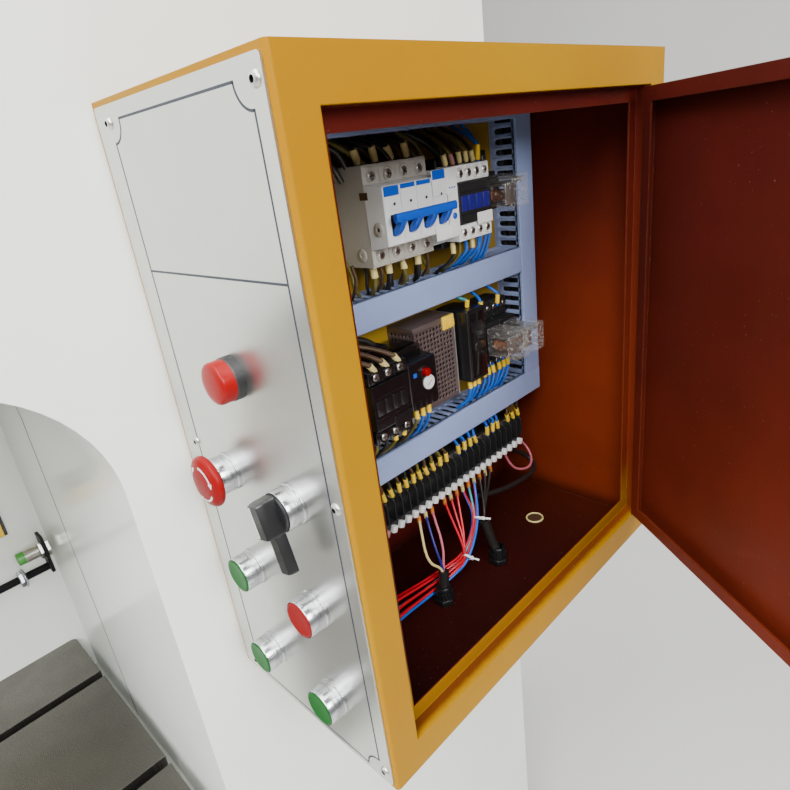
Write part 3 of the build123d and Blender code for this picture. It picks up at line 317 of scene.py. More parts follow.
# Finishes: shader sums are written as ordinary expressions
class Tone:
    # an output socket; each operator adds the Math node that works it out
    def __init__(self, finish, socket):
        self.finish = finish
        self.socket = socket

    def math(self, operation, *terms):
        # one Math node on its terms
        return self.finish.add("ShaderNodeMath", {"operation": operation}, terms)

    def __add__(self, other):
        return self.math("ADD", self, other)

    __radd__ = __add__

    def __sub__(self, other):
        return self.math("SUBTRACT", self, other)

    def __rsub__(self, other):
        return self.math("SUBTRACT", other, self)

    def __mul__(self, other):
        return self.math("MULTIPLY", self, other)

    __rmul__ = __mul__

    def __pow__(self, other):
        return self.math("POWER", self, other)

    def either(self, other):
        # the larger of the two
        return self.math("MAXIMUM", self, other)

    def over(self, edge, soft=0.2):
        # 0 below an edge, 1 above it, with a smooth step of the given half width
        steps = {"From Min": edge - soft, "From Max": edge + soft, "Value": self}
        return self.finish.add("ShaderNodeMapRange", {"interpolation_type": "SMOOTHSTEP"}, steps)

    def under(self, edge, soft=0.2):
        # 1 below an edge, 0 above it
        return 1 - self.over(edge, soft)


class Finish:
    # one material; every node comes from add(), by its type, its settings and its sockets' values or links
    def __init__(self, name):
        self.material = bpy.data.materials.new(name)
        self.material.use_nodes = True
        self.tree = self.material.node_tree
        self.tree.nodes.clear()
        self.coords = self.add("ShaderNodeTexCoord", output="Object")

    def add(self, kind, settings=None, inputs=(), output=0):
        # inputs are a row in the sockets' own order, or a table by their names; a value or a Tone for each
        node = self.tree.nodes.new(kind)
        for key, value in (settings or {}).items():
            setattr(node, key, value)
        pairs = inputs.items() if isinstance(inputs, dict) else enumerate(inputs)
        for key, value in pairs:
            if isinstance(value, Tone):
                self.tree.links.new(value.socket, node.inputs[key])
            elif isinstance(value, tuple) and node.inputs[key].type == "RGBA":
                node.inputs[key].default_value = (*value, 1)
            else:
                node.inputs[key].default_value = value
        return Tone(self, node.outputs[output])

    def vector(self, operation, *terms, output=0):
        # one vector Math node on its terms
        return self.add("ShaderNodeVectorMath", {"operation": operation}, terms, output)

    def axes(self, origin, turn):
        # x, y and z in millimetres from an origin, turned back by some degrees about +Z
        offset = tuple(-value * mm for value in origin)
        moved = self.vector("ADD", self.coords, offset)
        about = {"Vector": moved, "Rotation": (0, 0, math.radians(-turn)), "Scale": (1 / mm,) * 3}
        spun = self.add("ShaderNodeMapping", {"vector_type": "POINT"}, about)
        return [self.add("ShaderNodeSeparateXYZ", None, (spun,), axis) for axis in "XYZ"]

    def cloud(self, cell, detail=3, rough=0.5, stretch=(1, 1, 1)):
        # noise whose grains are about cell millimetres across, drawn out along the axes by stretch
        drawn = tuple(1 / (cell * mm * value) for value in stretch)
        vector = self.vector("MULTIPLY", self.coords, drawn)
        values = {"Vector": vector, "Scale": 1, "Detail": detail, "Roughness": rough}
        return self.add("ShaderNodeTexNoise", None, values, "Fac")

    def swirls(self, period, bend):
        # rings of fine lines a period apart, each pushed about by a slow noise, and upright on sides
        level = self.vector("MULTIPLY", self.coords, (1, 1, 0.04))
        values = {"Vector": level, "Scale": 0.314 / (period * mm), "Distortion": bend, "Detail": 2,
            "Detail Scale": 0.12}
        return self.add("ShaderNodeTexWave", {"wave_type": "RINGS", "rings_direction": "Z"}, values, "Fac")

    def mix(self, first, second, share):
        # first x (1 - share) + second x share
        values = {0: share, 6: first, 7: second}
        return self.add("ShaderNodeMix", {"data_type": "RGBA"}, values, 2)

    def rounded(self, radius):
        # the normal of edges broken by a radius in millimetres
        return self.add("ShaderNodeBevel", {"samples": 4}, {"Radius": radius * mm})

    def edges(self, width):
        # how far the rounded normal leaves the flat one: near 0 on faces, higher along edges
        plain = self.add("ShaderNodeNewGeometry", output="Normal")
        return 1 - self.vector("DOT_PRODUCT", self.rounded(width), plain, output="Value")

    def relief(self, height, depth, radius):
        # bump of a depth in millimetres, on edges broken by a small radius
        values = {"Height": height, "Distance": depth * mm, "Strength": 1, "Normal": self.rounded(radius)}
        return self.add("ShaderNodeBump", None, values)

    def shade(self, **sockets):
        # the finished surface; socket names are written in camelCase
        named = {}
        for key, value in sockets.items():
            words = "".join(" " + c if c.isupper() else c for c in key).title()
            named[words.replace("Ior", "IOR")] = value
        surface = self.add("ShaderNodeBsdfPrincipled", None, named, "BSDF")
        end = self.tree.nodes.new("ShaderNodeOutputMaterial")
        self.tree.links.new(surface.socket, end.inputs["Surface"])
        return self.material


def screen(red, green, blue):
    # a screen colour, 0 to 255, as the linear colour that shaders use
    part = np.array([red, green, blue]) / 255
    return tuple(float(v) for v in np.where(part <= 0.04045, part / 12.92, ((part + 0.055) / 1.055) ** 2.4))


def painted(name, tint, rough=0.32, peel=0.03, wear=0.35, bare=(150, 148, 142), dirt=0.06, gloss=0.3):
    # sprayed enamel: fine orange peel, slow changes of tone, and edges rubbed thin
    f = Finish(name)
    colour = screen(*tint)
    slow = f.cloud(160, 3)
    fine = f.cloud(2.2, 2)
    rubbed = f.edges(1.6) * f.cloud(9, 4) * 6
    worn = rubbed.over(0.9, 0.25) * wear
    dirtAndShade = tuple(v * (1 - 2 * dirt) for v in colour)
    base = f.mix(colour, dirtAndShade, slow.over(0.55, 0.25))
    base = f.mix(base, screen(*bare), worn)
    rougher = rough + slow * 0.10 + fine * 0.05 + worn * 0.2
    normal = f.relief(f.cloud(3, 2) + 0.3 * f.cloud(0.8, 1), peel, 0.7)
    return f.shade(baseColor=base, roughness=rougher, normal=normal, coatWeight=gloss, coatRoughness=0.12)


def moulded(name, tint, rough=0.45, grain=0.012, shift=0.12, coat=0, gloss=0.5):
    # moulded plastic: an even tone with a very fine grain and a little dust
    f = Finish(name)
    colour = screen(*tint)
    darker = tuple(v * (1 - shift) for v in colour)
    base = f.mix(colour, darker, f.cloud(14, 3))
    grainy = f.cloud(0.5, 2)
    uneven = rough + 0.12 * f.cloud(6, 2)
    return f.shade(baseColor=base, roughness=uneven, normal=f.relief(grainy, grain, 0.3), coatWeight=coat,
        specularIorLevel=gloss)


def bare(name, tint, rough=0.3, scratch=0.01, stretch=(1, 1, 1), stain=0.2, metal=1, uneven=1, streak=0):
    # bare metal: stretched fine scratches over slow stains
    f = Finish(name)
    colour = screen(*tint)
    stained = tuple(v * (1 - stain) for v in colour)
    blotch = f.cloud(30, 4)
    base = f.mix(colour, stained, blotch.over(0.5, 0.3))
    if streak:
        ground = f.swirls(1.7, 60).over(0.7, 0.25) * f.cloud(1.6, 3, 0.7).over(0.52, 0.12) * streak
        base = f.mix(base, tuple(v * 2.1 for v in colour), ground)
    lines = f.cloud(0.35, 2, 0.6, stretch)
    rougher = rough + uneven * (0.14 * blotch + 0.10 * lines)
    return f.shade(baseColor=base, metallic=metal, roughness=rougher, normal=f.relief(lines, scratch, 0.4))


def coated(name, inside, paintedLight, dirtAndShade, turn, origin):
    # the cabinet's two coats: yellow enamel outside, red-brown primer inside, with overspray where they meet;
    # two masks from the caller lay painted light and painted shade into the primer by place
    f = Finish(name)
    x, y, z = f.axes(origin, turn)
    drift = (f.cloud(7, 4) - 0.5) * 7
    primed = inside(x, y, z, drift)
    yellow = f.mix((0.33, 0.172, 0), (0.31, 0.136, 0), f.cloud(160, 3).over(0.5, 0.4))
    brown = f.mix(screen(86, 24, 18), screen(62, 17, 13), f.cloud(90, 4).over(0.5, 0.5))
    # painted light: the primer turns a lighter orange where the first mask lays light
    brown = f.mix(brown, screen(138, 52, 14), paintedLight(x, y, z) * (0.7 + 0.5 * f.cloud(34, 4)))
    # painted shade: the primer darkens nearly to black where the second mask lays shade
    brown = f.mix(brown, screen(22, 7, 5), dirtAndShade(x, y, z))
    brown = f.mix(brown, screen(150, 120, 104), f.cloud(2.4, 2).over(0.74, 0.02) * 0.35)
    rubbed = (f.edges(1.4) * f.cloud(8, 4) * 6).over(1, 0.3) * 0.35
    base = f.mix(f.mix(yellow, brown, primed), screen(120, 96, 60), rubbed)
    rough = 0.34 + 0.14 * primed + 0.08 * f.cloud(5, 3)
    normal = f.relief(f.cloud(2.6, 2) + 0.4 * f.cloud(0.7, 1), 0.035, 0.9)
    return f.shade(baseColor=base, roughness=rough, normal=normal, specularIorLevel=0.07)


shellSize = Sizes(width=205, front=1.5, back=424.5, height=490, fold=13.4)


def insideShell(x, y, z, drift):
    # 1 on the faces that look into the cabinet; at the foot the fold and its lip carry yellow overspray
    size = shellSize
    lip = (-1 * x).over(size.fold - 0.5, 0.2) * (-1 * x).under(size.fold + 0.5, 0.2)
    low = z.under(70, 30)
    fold = (-1 * x + 0.3 * drift).over(4.5, 4) * (1 - low * (0.14 + 0.5 * lip))
    depth = fold.either((-1 * x).over(size.fold + 0.6, 0.3))
    walls = y.over(size.front + 0.7, 0.2) * y.under(size.back - 0.7, 0.2)
    floors = z.over(0.7, 0.2) * z.under(size.height - 0.7, 0.2)
    return depth * walls * floors * x.over(-size.width + 0.7, 0.2)


doorSize = Sizes(open=55.5, pinX=5.7, pinY=400.2, outer=0, thick=12.5, sheet=1.5, low=(29.3, 30.5),
    high=(395.2, 459.5))


def insideDoor(x, y, z, drift):
    # the door's own axes, as it stands shut: everything behind its outer sheet is primed
    size = doorSize
    behind = x.under(size.outer - 0.5 - size.pinX, 0.15)
    edge = size.sheet / 2
    across = y.over(size.low[0] + edge - size.pinY, 0.2) * y.under(size.high[0] - edge - size.pinY, 0.2)
    upright = z.over(size.low[1] + edge, 0.2) * z.under(size.high[1] - edge, 0.2)
    back = x.under(-size.thick + 1.2 + 0.1 * drift - size.pinX, 1.2)
    return behind * (across * upright).either(back)


# Values of each finish, in the order in which its maker takes them: the colour comes first
enamels = {
    "frame": ((240, 243, 236), 0.24, 0.03, 0.15, (176, 172, 156), 0.03, 0.5),
    "backPlate": ((150, 118, 14), 0.42, 0.01, 0.1, (120, 110, 60), 0.2, 0),
    # cast grey parts, and the liner seam's dark line, which is painted shade along the sealant
    "castGrey": ((96, 102, 106), 0.5, 0.12, 0.25, (130, 126, 118), 0.1, 0.1),
    "motorBlue": ((52, 84, 122), 0.36, 0.06, 0.25, (120, 124, 128), 0.1, 0.2),
    "signalYellow": ((238, 190, 20), 0.34, 0.02, 0.1, (120, 110, 90), 0.05, 0.3),
}
metals = {
    "groundSteel": ((106, 104, 99), 0.3, 0.03, (9, 1, 9), 0.14, 1, 1, 0.55),
    "brushedPanel": ((204, 204, 201), 0.27, 0.002, (14, 1, 1), 0.04, 1, 0.3),
    # black steel parts, and painted shade in screw slots, sockets, wire openings and grooves
    "blackSteel": ((44, 44, 46), 0.38, 0.006, (1, 1, 1), 0.3, 0.85),
    "chrome": ((188, 190, 193), 0.09, 0.001, (1, 1, 1), 0.03),
    "bronze": ((176, 128, 66), 0.3, 0.006, (1, 1, 8), 0.25),
    "milled": ((150, 152, 156), 0.3, 0.01, (1, 12, 12), 0.2),
    "nickel": ((206, 204, 196), 0.22, 0.003, (1, 1, 1), 0.15),
    "zinc": ((202, 204, 214), 0.3, 0.004, (1, 1, 1), 0.15),
    "copper": ((150, 92, 60), 0.4, 0.02, (10, 1, 1), 0.2, 0.7),
    "sheetSteel": ((214, 212, 206), 0.3, 0.004, (1, 8, 1), 0.2, 0.9),
    # smoked for the light bar's lenses; on the power supply a darker copy of the sheet steel, painted shade
    "smokedSteel": ((122, 106, 104), 0.28, 0.004, (1, 1, 1), 0.2, 0.6),
}
mouldings = {
    # black plastic parts, and painted shade filling the breaker's handle slots and wire openings
    "blackPlastic": ((26, 26, 28), 0.42, 0.012, 0.3),
    "glossBlack": ((16, 16, 18), 0.16, 0.004, 0.3, 0.4),
    "greyPlastic": ((176, 172, 162), 0.4, 0.01),
    "whitePlastic": ((222, 222, 220), 0.34, 0.008),
    "duct": ((142, 158, 200), 0.36, 0.01),
    "blue": ((12, 78, 186), 0.25, 0.006),
    "navy": ((26, 24, 112), 0.3, 0.006),
    "red": ((130, 0, 4), 0.34, 0.004, 0.1, 0, 0.16),
    "green": ((0, 84, 22), 0.34, 0.004, 0.1, 0, 0.16),
    "ivory": ((214, 196, 128), 0.4, 0.006),
    "yellowTube": ((236, 196, 44), 0.36, 0.006),
    "wireBlack": ((30, 28, 26), 0.34, 0.004),
    "wireBrown": ((74, 52, 30), 0.36, 0.004),
    "wireOlive": ((96, 88, 34), 0.36, 0.004),
    "wireBlue": ((10, 96, 200), 0.3, 0.004),
    "wireCyan": ((60, 150, 160), 0.3, 0.004),
    "wirePink": ((190, 96, 110), 0.34, 0.004),
    "ink": ((34, 40, 54), 0.5, 0.002),
    "satinBlack": ((20, 20, 22), 0.26, 0.006, 0.3, 0.2),
    # brown plastic parts, and the grommet skin's dark brown, partly painted shade
    "brownPlastic": ((70, 48, 34), 0.4, 0.008),
    "faded": ((168, 120, 112), 0.5, 0.008),
    "lampRed": ((138, 0, 3), 0.24, 0.003, 0.1, 0, 0.2),
    "sensorGreen": ((70, 150, 60), 0.36, 0.006),
    "orangeTube": ((214, 120, 30), 0.36, 0.006),
    "wireRed": ((190, 8, 30), 0.3, 0.004),
    "oil": ((176, 112, 22), 0.12, 0.002, 0.1, 0.6),
}
finishes = {}
for maker, table in ((painted, enamels), (bare, metals), (moulded, mouldings)):
    for name, values in table.items():
        finishes[name] = maker(name, *values)
# cabinet primer: painted light, a lighter orange on the lower rear wall, and painted shade, near black on the
# floor and the foot of the walls
finishes["cabinet"] = coated("cabinet", insideShell,
    lambda x, y, z: y.over(370, 90) * z.under(330, 190) * 0.6,
    lambda x, y, z: z.under(12, 12) * 0.75, 0, cabCorner)
# door primer: painted light, lighter towards its foot, and painted shade, darker towards its top
finishes["door"] = coated("door", insideDoor,
    lambda x, y, z: z.under(260, 240) * 0.25,
    lambda x, y, z: z.over(140, 200) * 0.3, doorSize.open, cab(doorSize.pinX, doorSize.pinY, 0))


def clearShell(name):
    # thin clear plastic: its faces let light through, its slanting edges and corners catch it, and scattered
    # pale specks of opacity are painted glints
    f = Finish(name)
    slant = f.add("ShaderNodeLayerWeight", None, {"Blend": 0.35}, "Facing")
    veilAndGlints = 0.05 + 0.4 * slant ** 2 + 0.4 * f.cloud(3.2, 3).over(0.6, 0.05)
    return f.shade(baseColor=screen(188, 182, 176), roughness=0.05 + 0.08 * f.cloud(4, 2), alpha=veilAndGlints,
        coatWeight=1, coatRoughness=0.03)


finishes["clear"] = clearShell("clear")

# Which finish each carried-over node takes
dressing = {
    "frame": "base_plate side_plate_left side_plate_right head_cover bed_plates cylinder_mount_plate "
             "throat_liner guard_panel rear_cover oil_tank tank_lid",
    "groundSteel": "work_table ram_plate",
    "blackSteel": "frame_bolts stroke_flag sensor_arm motor_rotor hydraulic_pipes hinge_pins power_supply",
    "chrome": "piston_rod guide_rods proximity_sensor pressure_gauge door_latch button_bezels",
    "bronze": "ram_bushes",
    "castGrey": "cylinder_barrel bell_housing gear_pump solenoid_valve",
    "motorBlue": "motor_housing fan_cover",
    "milled": "valve_manifold",
    "brushedPanel": "operator_panel",
    "blackPlastic": "relief_knob gauge_needle filler_cap level_gauge selector_lever contactors "
                    "overload_relay relay_sockets terminal_strip cable_glands plug_relays",
    "greyPlastic": "breaker_body",
    "cabinet": "cabinet_shell",
    "door": "cabinet_door",
    "backPlate": "mounting_plate",
    "duct": "wiring_ducts",
    "blue": "breaker_handle",
    "red": "pilot_lamp emergency_stop stop_button overload_reset",
    "green": "start_button down_button return_button",
    "wireBlack": "wires",
}
for finishName, dressed in dressing.items():
    for nodeName in dressed.split():
        mesh = nodes[nodeName].data
        mesh.materials.clear()
        mesh.materials.append(finishes[finishName])
print("finishes made,", len(bpy.data.materials))


# Operator panel: printed border, domed screws and the controls
def onPanel(form, x, z):
    # +Z of the form points at the operator, +Y stays up
    return form.along(cab(x, 0, z), (0, -1, 0))


def facing(form, x, y, z):
    # +Z of the form points out of the open side, +Y stays up
    return form.along((x, y, z), (1, 0, 0))


panelPrint = Sizes(left=-178.9, right=-15.1, bottom=8.2, top=476.4, notch=14, line=1.5, divider=379.5,
    ink=0.06)


def printedLine(points, values):
    # a flat line on the panel's front through (x, z) points
    path = np.insert(np.asarray(points, float), 1, 0, axis=1)
    return ribbon(path, (0, -1, 0), values.line, values.ink)


def panelBorder(values):
    # four straight lines, a divider, and at each corner a quarter circle about the corner point
    left, right, bottom, top = (values[key] for key in ("left", "right", "bottom", "top"))
    cut, half = values.notch, values.line / 2
    lines = [printedLine([(left + cut - half, z), (right - cut + half, z)], values) for z in (bottom, top)]
    lines += [printedLine([(x, bottom + cut - half), (x, top - cut + half)], values) for x in (left, right)]
    lines.append(printedLine([(left, values.divider), (right, values.divider)], values))
    quarter = np.linspace(0, np.pi / 2, 13)
    for x, z, start in ((left, bottom, 0), (right, bottom, 1), (right, top, 2), (left, top, 3)):
        angle = quarter + start * np.pi / 2
        arc = np.stack([x + cut * np.cos(angle), z + cut * np.sin(angle)], -1)
        lines.append(printedLine(arc, values))
    return together(lines)


domeScrew = Sizes(radius=4.2, rise=2.3, socket=1.7, depth=1.5, places=[(x, z) for x in (-181.5, -10)
    for z in (15, 244, 475)])


def domedHead(values):
    # height = rise x sqrt(1 - (r / radius)^2), with a six-sided socket in its middle
    r = np.linspace(values.radius, values.socket * 1.1, 8)
    dome = values.rise * np.sqrt(1 - (r / values.radius) ** 2)
    rim = dome[-1]
    shell = lathe(np.stack([r, dome], -1), 36)
    socket = lathe([(values.socket * 1.1, rim), (values.socket, rim - 0.1),
        (values.socket, rim - values.depth), (0, rim - values.depth)], 6)
    return shell, socket


headForm, socketForm = domedHead(domeScrew)
screwParts = [(onPanel(headForm, x, z), "nickel") for x, z in domeScrew.places]
# painted shade: the hex sockets take the dark steel, the shade that falls in them
screwParts += [(onPanel(socketForm, x, z), "blackSteel") for x, z in domeScrew.places]
piece("panel_screws", "frame", screwParts)
piece("panel_print", "frame", placed([(panelBorder(panelPrint), "ink")], cabCorner))

controls = {
    "lamp": (-96, 314), "emergency": (-135.5, 232), "selector": (-56, 232), "start": (-135.5, 144.5),
    "stop": (-56, 144.5), "down": (-135.5, 59.5), "back": (-56, 59.5),
}
bezel = Sizes(radius=14.3, flange=15, rim=16, cap=13.4, gap=0.25, floor=6, bore=8.3, groove=0.4, grooves=(6,),
    rims={"emergency": 14.5, "selector": 14}, floors={"emergency": 14, "selector": 7})


def bezelRing(values, rim, floor):
    # outside: flange, wall with shallow grooves and a rolled rim; inside: a pocket for the cap
    wall, cut = values.radius, values.groove
    profile = [(values.flange, 0), (values.flange, 2.4), (values.flange - 0.5, 3), (wall, 3)]
    for height in values.grooves:
        if height < rim - 2:
            profile += [(wall, height), (wall - cut, height + 0.12), (wall - cut, height + 0.5),
                (wall, height + 0.62)]
    pocket = values.cap + values.gap
    profile += [(wall, rim - 0.7), (wall - 0.35, rim - 0.1), (pocket + 0.4, rim), (pocket, rim - 0.5)]
    profile += [(pocket, floor), (values.bore, floor), (values.bore, 0)]
    return lathe(profile, 96)


backBlock = Sizes(half=14, near=11, far=53)


def contactBlock(values):
    # behind the panel: a black body with its nut and stem, two pale contact cells and their four screws
    half, near, far = values.half, values.near, values.far
    nut = lathe([(11.2, 0), (14.6, 0), (14.6, 4.5), (11.2, 4.5)], 8, ring=True)
    stem = lathe([(10.6, -14), (10.6, 0)], 48)
    dark = [block((-half, near, -12), (half, near + 14, 12), 1.2), nut.along((0, 3.4, 0), (0, 1, 0)),
        stem.along((0, 0, 0), (0, -1, 0))]
    cells = [block((side - 6.6, near + 14, -11), (side + 6.6, far, 11), 0.8) for side in (-7, 7)]
    screw = lathe([(2.2, 0), (2.2, 1), (1.6, 1.4), (0, 1.4)], 16)
    screws = [screw.along((side, far - 9, end * 11), (0, 0, end)) for side in (-7, 7) for end in (-1, 1)]
    return [(dark, "blackPlastic"), (cells, "whitePlastic"), (screws, "nickel")]


bezelParts, backs = [], []
for key, (x, z) in controls.items():
    if key != "lamp":
        ring = bezelRing(bezel, bezel.rims.get(key, bezel.rim), bezel.floors.get(key, bezel.floor))
        bezelParts.append((onPanel(ring, x, z), "chrome"))
        backs.append(cab(x, 0, z))
bezelParts += [(together(forms).repeated(backs), finish) for forms, finish in contactBlock(backBlock)]
piece("control_bezels", "frame", bezelParts, ["button_bezels"])

cap = Sizes(radius=13.4, stand=16.6, skirt=6, stem=8, dish=0.5)


def capForm(values):
    # a slightly dished top: height falls by dish x (1 - (r / radius)^2), with a rolled edge
    r = np.linspace(0, values.radius - 1.6, 8)
    top = values.stand - values.dish * (1 - (r / r[-1]) ** 2)
    edge = np.linspace(0, np.pi / 2, 5)
    rollR = values.radius - 1 + np.sin(edge)
    rollZ = values.stand - 1 + np.cos(edge)
    low = values.skirt
    profile = np.vstack([np.stack([r, top], -1), np.stack([rollR, rollZ], -1), [(values.radius, low),
        (values.stem, low), (values.stem, -12), (0, -12)]])
    return lathe(profile, 72)


caps = {
    "start": ("start_cap", "start_button", "green"), "stop": ("stop_cap", "stop_button", "red"),
    "down": ("down_cap", "down_button", "green"), "back": ("return_cap", "return_button", "green"),
}
for key, (body, node, tint) in caps.items():
    piece(key + "_cap", body, [(onPanel(capForm(cap), *controls[key]), tint)], [node])

mushroom = Sizes(profile=[(0, 25), (6, 24.9), (11, 24.5), (15, 23.7), (18, 22.4), (19.6, 20.8), (20, 19),
    (19.8, 17.4), (18.8, 16.3), (17, 15.8), (15.7, 16)], hollow=(15.6, 20.3), arrows=3, sweep=92, track=13.2,
    line=0.85, head=2.3, ink=0.12)


def mushroomHead(values):
    # the profile carried round, a hollow that clears the collar when pushed, then the neck
    inner, ceiling = values.hollow
    neck = [(inner, ceiling), (8, ceiling), (8, -12), (0, -12)]
    return lathe(np.vstack([eased(values.profile, 0.8, 3), neck]), 96)


def mushroomArrows(values):
    # bands that lie on the head: their half width is a line, then a triangle down to nothing
    profile = eased(values.profile, 0.8, 3)
    t = np.linspace(0, 1, 41)
    half = np.where(t < 0.78, values.line, values.head * (1 - t) / 0.22)
    across = np.linspace(-1, 1, 5)
    radius = values.track + half[:, None] * across
    height = np.interp(radius, profile[:20, 0], profile[:20, 1]) + values.ink
    forms = []
    for index in range(values.arrows):
        angle = np.radians(90 + index * 360 / values.arrows - t * values.sweep)[:, None]
        points = np.stack([radius * np.cos(angle), radius * np.sin(angle), height], -1)
        forms.append(Form(points, [gridFaces(len(t), len(across), False)]))
    return together(forms)


x, z = controls["emergency"]
piece("emergency_head", "stop_head", [(onPanel(mushroomHead(mushroom), x, z), "red"),
    (onPanel(mushroomArrows(mushroom), x, z), "whitePlastic")], ["emergency_stop"])

lever = Sizes(base=13.2, baseTop=15.5, half=6.5, up=13, step=-13, down=-41, tailHalf=5.6, top=29, tailTop=23,
    turn=-14, line=1.8)


def leverForms(values, x, z):
    # a disc under a grip that narrows towards the operator, then a lower and slimmer tail that points down
    disc = lathe([(0, values.baseTop), (values.base - 1, values.baseTop), (values.base, values.baseTop - 1),
        (values.base, 8), (8, 8), (8, -12), (0, -12)], 72)

    def grip(half, high, low, top):
        # a rectangle with eased corners, drawn in by more at each level up to its top
        outline = eased(np.array([(half, high), (-half, high), (-half, low), (half, low)]), 2, 4, closed=True)
        levels = [(0, values.baseTop), (0, top - 6), (0.5, top - 2), (1.3, top)]
        return stacked([(inset(outline, cut), level) for cut, level in levels])

    bar = grip(values.half, values.up, values.step, values.top)
    tail = grip(values.tailHalf, values.step + 4, values.down, values.tailTop)
    edge = values.half - 1.6
    mark = block((-edge, values.step + 2, values.top - 0.3), (values.line - edge, values.up - 2,
        values.top + 0.06), 0.1, 1)

    def spun(form):
        # laid on the panel, then turned about the knob's own axis
        return onPanel(form, x, z).turned((0, 1, 0), values.turn, cab(x, 0, z))

    return onPanel(disc, x, z), spun(bar + tail), spun(mark)


x, z = controls["selector"]
discForm, barForm, markForm = leverForms(lever, x, z)
piece("selector_knob", "selector", [(discForm, "blackPlastic"), (barForm, "satinBlack"),
    (markForm, "whitePlastic")], ["selector_lever"])

pilot = Sizes(base=14.9, baseTop=6.6, lens=14.3, top=17, ribs=40)


def pilotLens(values):
    # a ribbed skirt, r = lens x (1 + 0.008 cos(ribs x angle)), under a flat dome
    lens, top = values.lens, values.top
    profile = np.array([(lens, 5), (lens, top - 2.6), (lens - 0.5, top - 1.4), (lens - 1.8, top - 0.6),
        (lens - 5, top - 0.2), (0, top)])
    form = lathe(eased(profile, 0.6, 3), 160)
    x, y, z = form.points.T
    angle = np.arctan2(y, x)
    skirt = np.clip((top - 3 - z) / 1.5, 0, 1) * np.clip((z - 5) / 0.8, 0, 1)
    swell = 1 + 0.008 * np.cos(values.ribs * angle) * skirt
    return Form(np.stack([x * swell, y * swell, z], -1), form.faces)


x, z = controls["lamp"]
lampBase = lathe([(8, 0), (pilot.base, 0), (pilot.base, pilot.baseTop - 0.8),
    (pilot.base - 0.6, pilot.baseTop), (8, pilot.baseTop)], 96)
lampBack = lathe([(0, -28), (9, -28), (10, -27), (10, -16), (10.9, -15), (10.9, 0)], 48)
piece("pilot_light", "frame", [(onPanel(pilotLens(pilot), x, z), "lampRed"),
    (onPanel(lampBase, x, z), "blackPlastic"), (onPanel(lampBack, x, z), "blackPlastic")], ["pilot_lamp"])
print("controls made")


# Cabinet devices: places come from the CAD nodes' boxes, sizes from the dictionaries
def localBox(name):
    # the same two corners, from the cabinet's own corner
    low, high = nodeBox(name)
    return low - cabCorner, high - cabCorner


rows = Sizes(upper=390, lower=246, rail=7.5, ledge=31.5, front=51.5)
plateFront = localBox("mounting_plate")[1][0] - rows.rail
railFront = plateFront + rows.rail


def cellGrid(width, height, depth, hole, rim, counts, pitch):
    # a plate of rectangular cells, each with a hole: rows of points run from the cell's edge, over a
    # rounded rim, down the hole's wall; a cell's corners come from scaling the hole's directions
    angle = np.arctan2(hole[:, 1], hole[:, 0])
    scale = np.minimum(width / 2 / np.maximum(np.abs(np.cos(angle)), 1e-6),
        height / 2 / np.maximum(np.abs(np.sin(angle)), 1e-6))
    edge = np.stack([np.cos(angle) * scale, np.sin(angle) * scale], -1)
    radius = np.linalg.norm(hole, axis=1, keepdims=True)
    outer = hole * (1 + rim / radius)
    levels = [(edge, 0), (outer, 0), (hole * (1 + 0.3 * rim / radius), -0.3 * rim), (hole, -rim),
        (hole, -depth)]
    cell = stacked(levels, False)
    across, along = np.meshgrid(np.arange(counts[0]) * pitch[0], np.arange(counts[1]) * pitch[1])
    return cell.repeated(np.stack([across.ravel(), along.ravel(), np.zeros(across.size)], -1))


def obround(width, length, steps=6):
    # two half circles of the slot's width, length apart over all, along y
    half = np.linspace(0, np.pi, steps + 1)
    reach = (length - width) / 2
    upper = np.stack([width / 2 * np.cos(half), width / 2 * np.sin(half) + reach], -1)
    outline = np.vstack([upper, -upper])
    corner = [[width / 2, 0], [-width / 2, 0]]
    return np.vstack([outline[:steps + 1], corner[1], outline[steps + 1:], corner[0]])


duct = Sizes(width=26, depth=33, wall=1.5, pitch=10, slot=5.2, slotLow=6.5, slotHigh=28, lid=3.2, hem=6,
    left=64, right=391, top=476, levels=(158, 300, 450))


def trunking(length, values):
    # base channel with two slotted walls and a snap-on lid; it runs along +Y from the origin
    width, depth, wall = values.width, values.depth, values.wall
    count = int(length / values.pitch)
    start = (length - count * values.pitch) / 2
    mid = (values.slotLow + values.slotHigh) / 2
    tall = depth - values.lid
    hole = obround(values.slot, values.slotHigh - values.slotLow)
    cells = cellGrid(values.pitch, tall, wall, hole, 0.7, (count, 1), (values.pitch, 1))
    forms = []
    for side in (0, 1):
        # the cell's (u, v, w) becomes y, x and z of the wall; w points outwards
        u, v, w = cells.points.T
        z = width + w if side else -w
        points = np.stack([np.clip(v + mid, 0, tall), u + start + values.pitch / 2, z], -1)
        forms.append(Form(points, cells.faces))
        for y0, y1 in ((0, start), (length - start, length)):
            if start > 0.01:
                edge = width - wall if side else 0
                forms.append(block((0, y0, edge), (tall, y1, edge + wall), 0.05, 1))
    forms.append(block((0, 0, 0), (wall, length, width), 0.3))
    hem = depth - values.hem
    lid = eased([(hem, 0.4), (hem, 0), (depth, 0), (depth, width), (hem, width), (hem, width - 0.9),
        (depth - wall, width - 0.9), (depth - wall, 0.9), (hem, 0.9)],
        [0.1, 0.2, 1.1, 1.1, 0.2, 0.1, 0.3, 0.3, 0.1], 3, closed=True)
    forms.append(sideOn(prism(lid, 0, length, 0.15)))
    return together(forms)


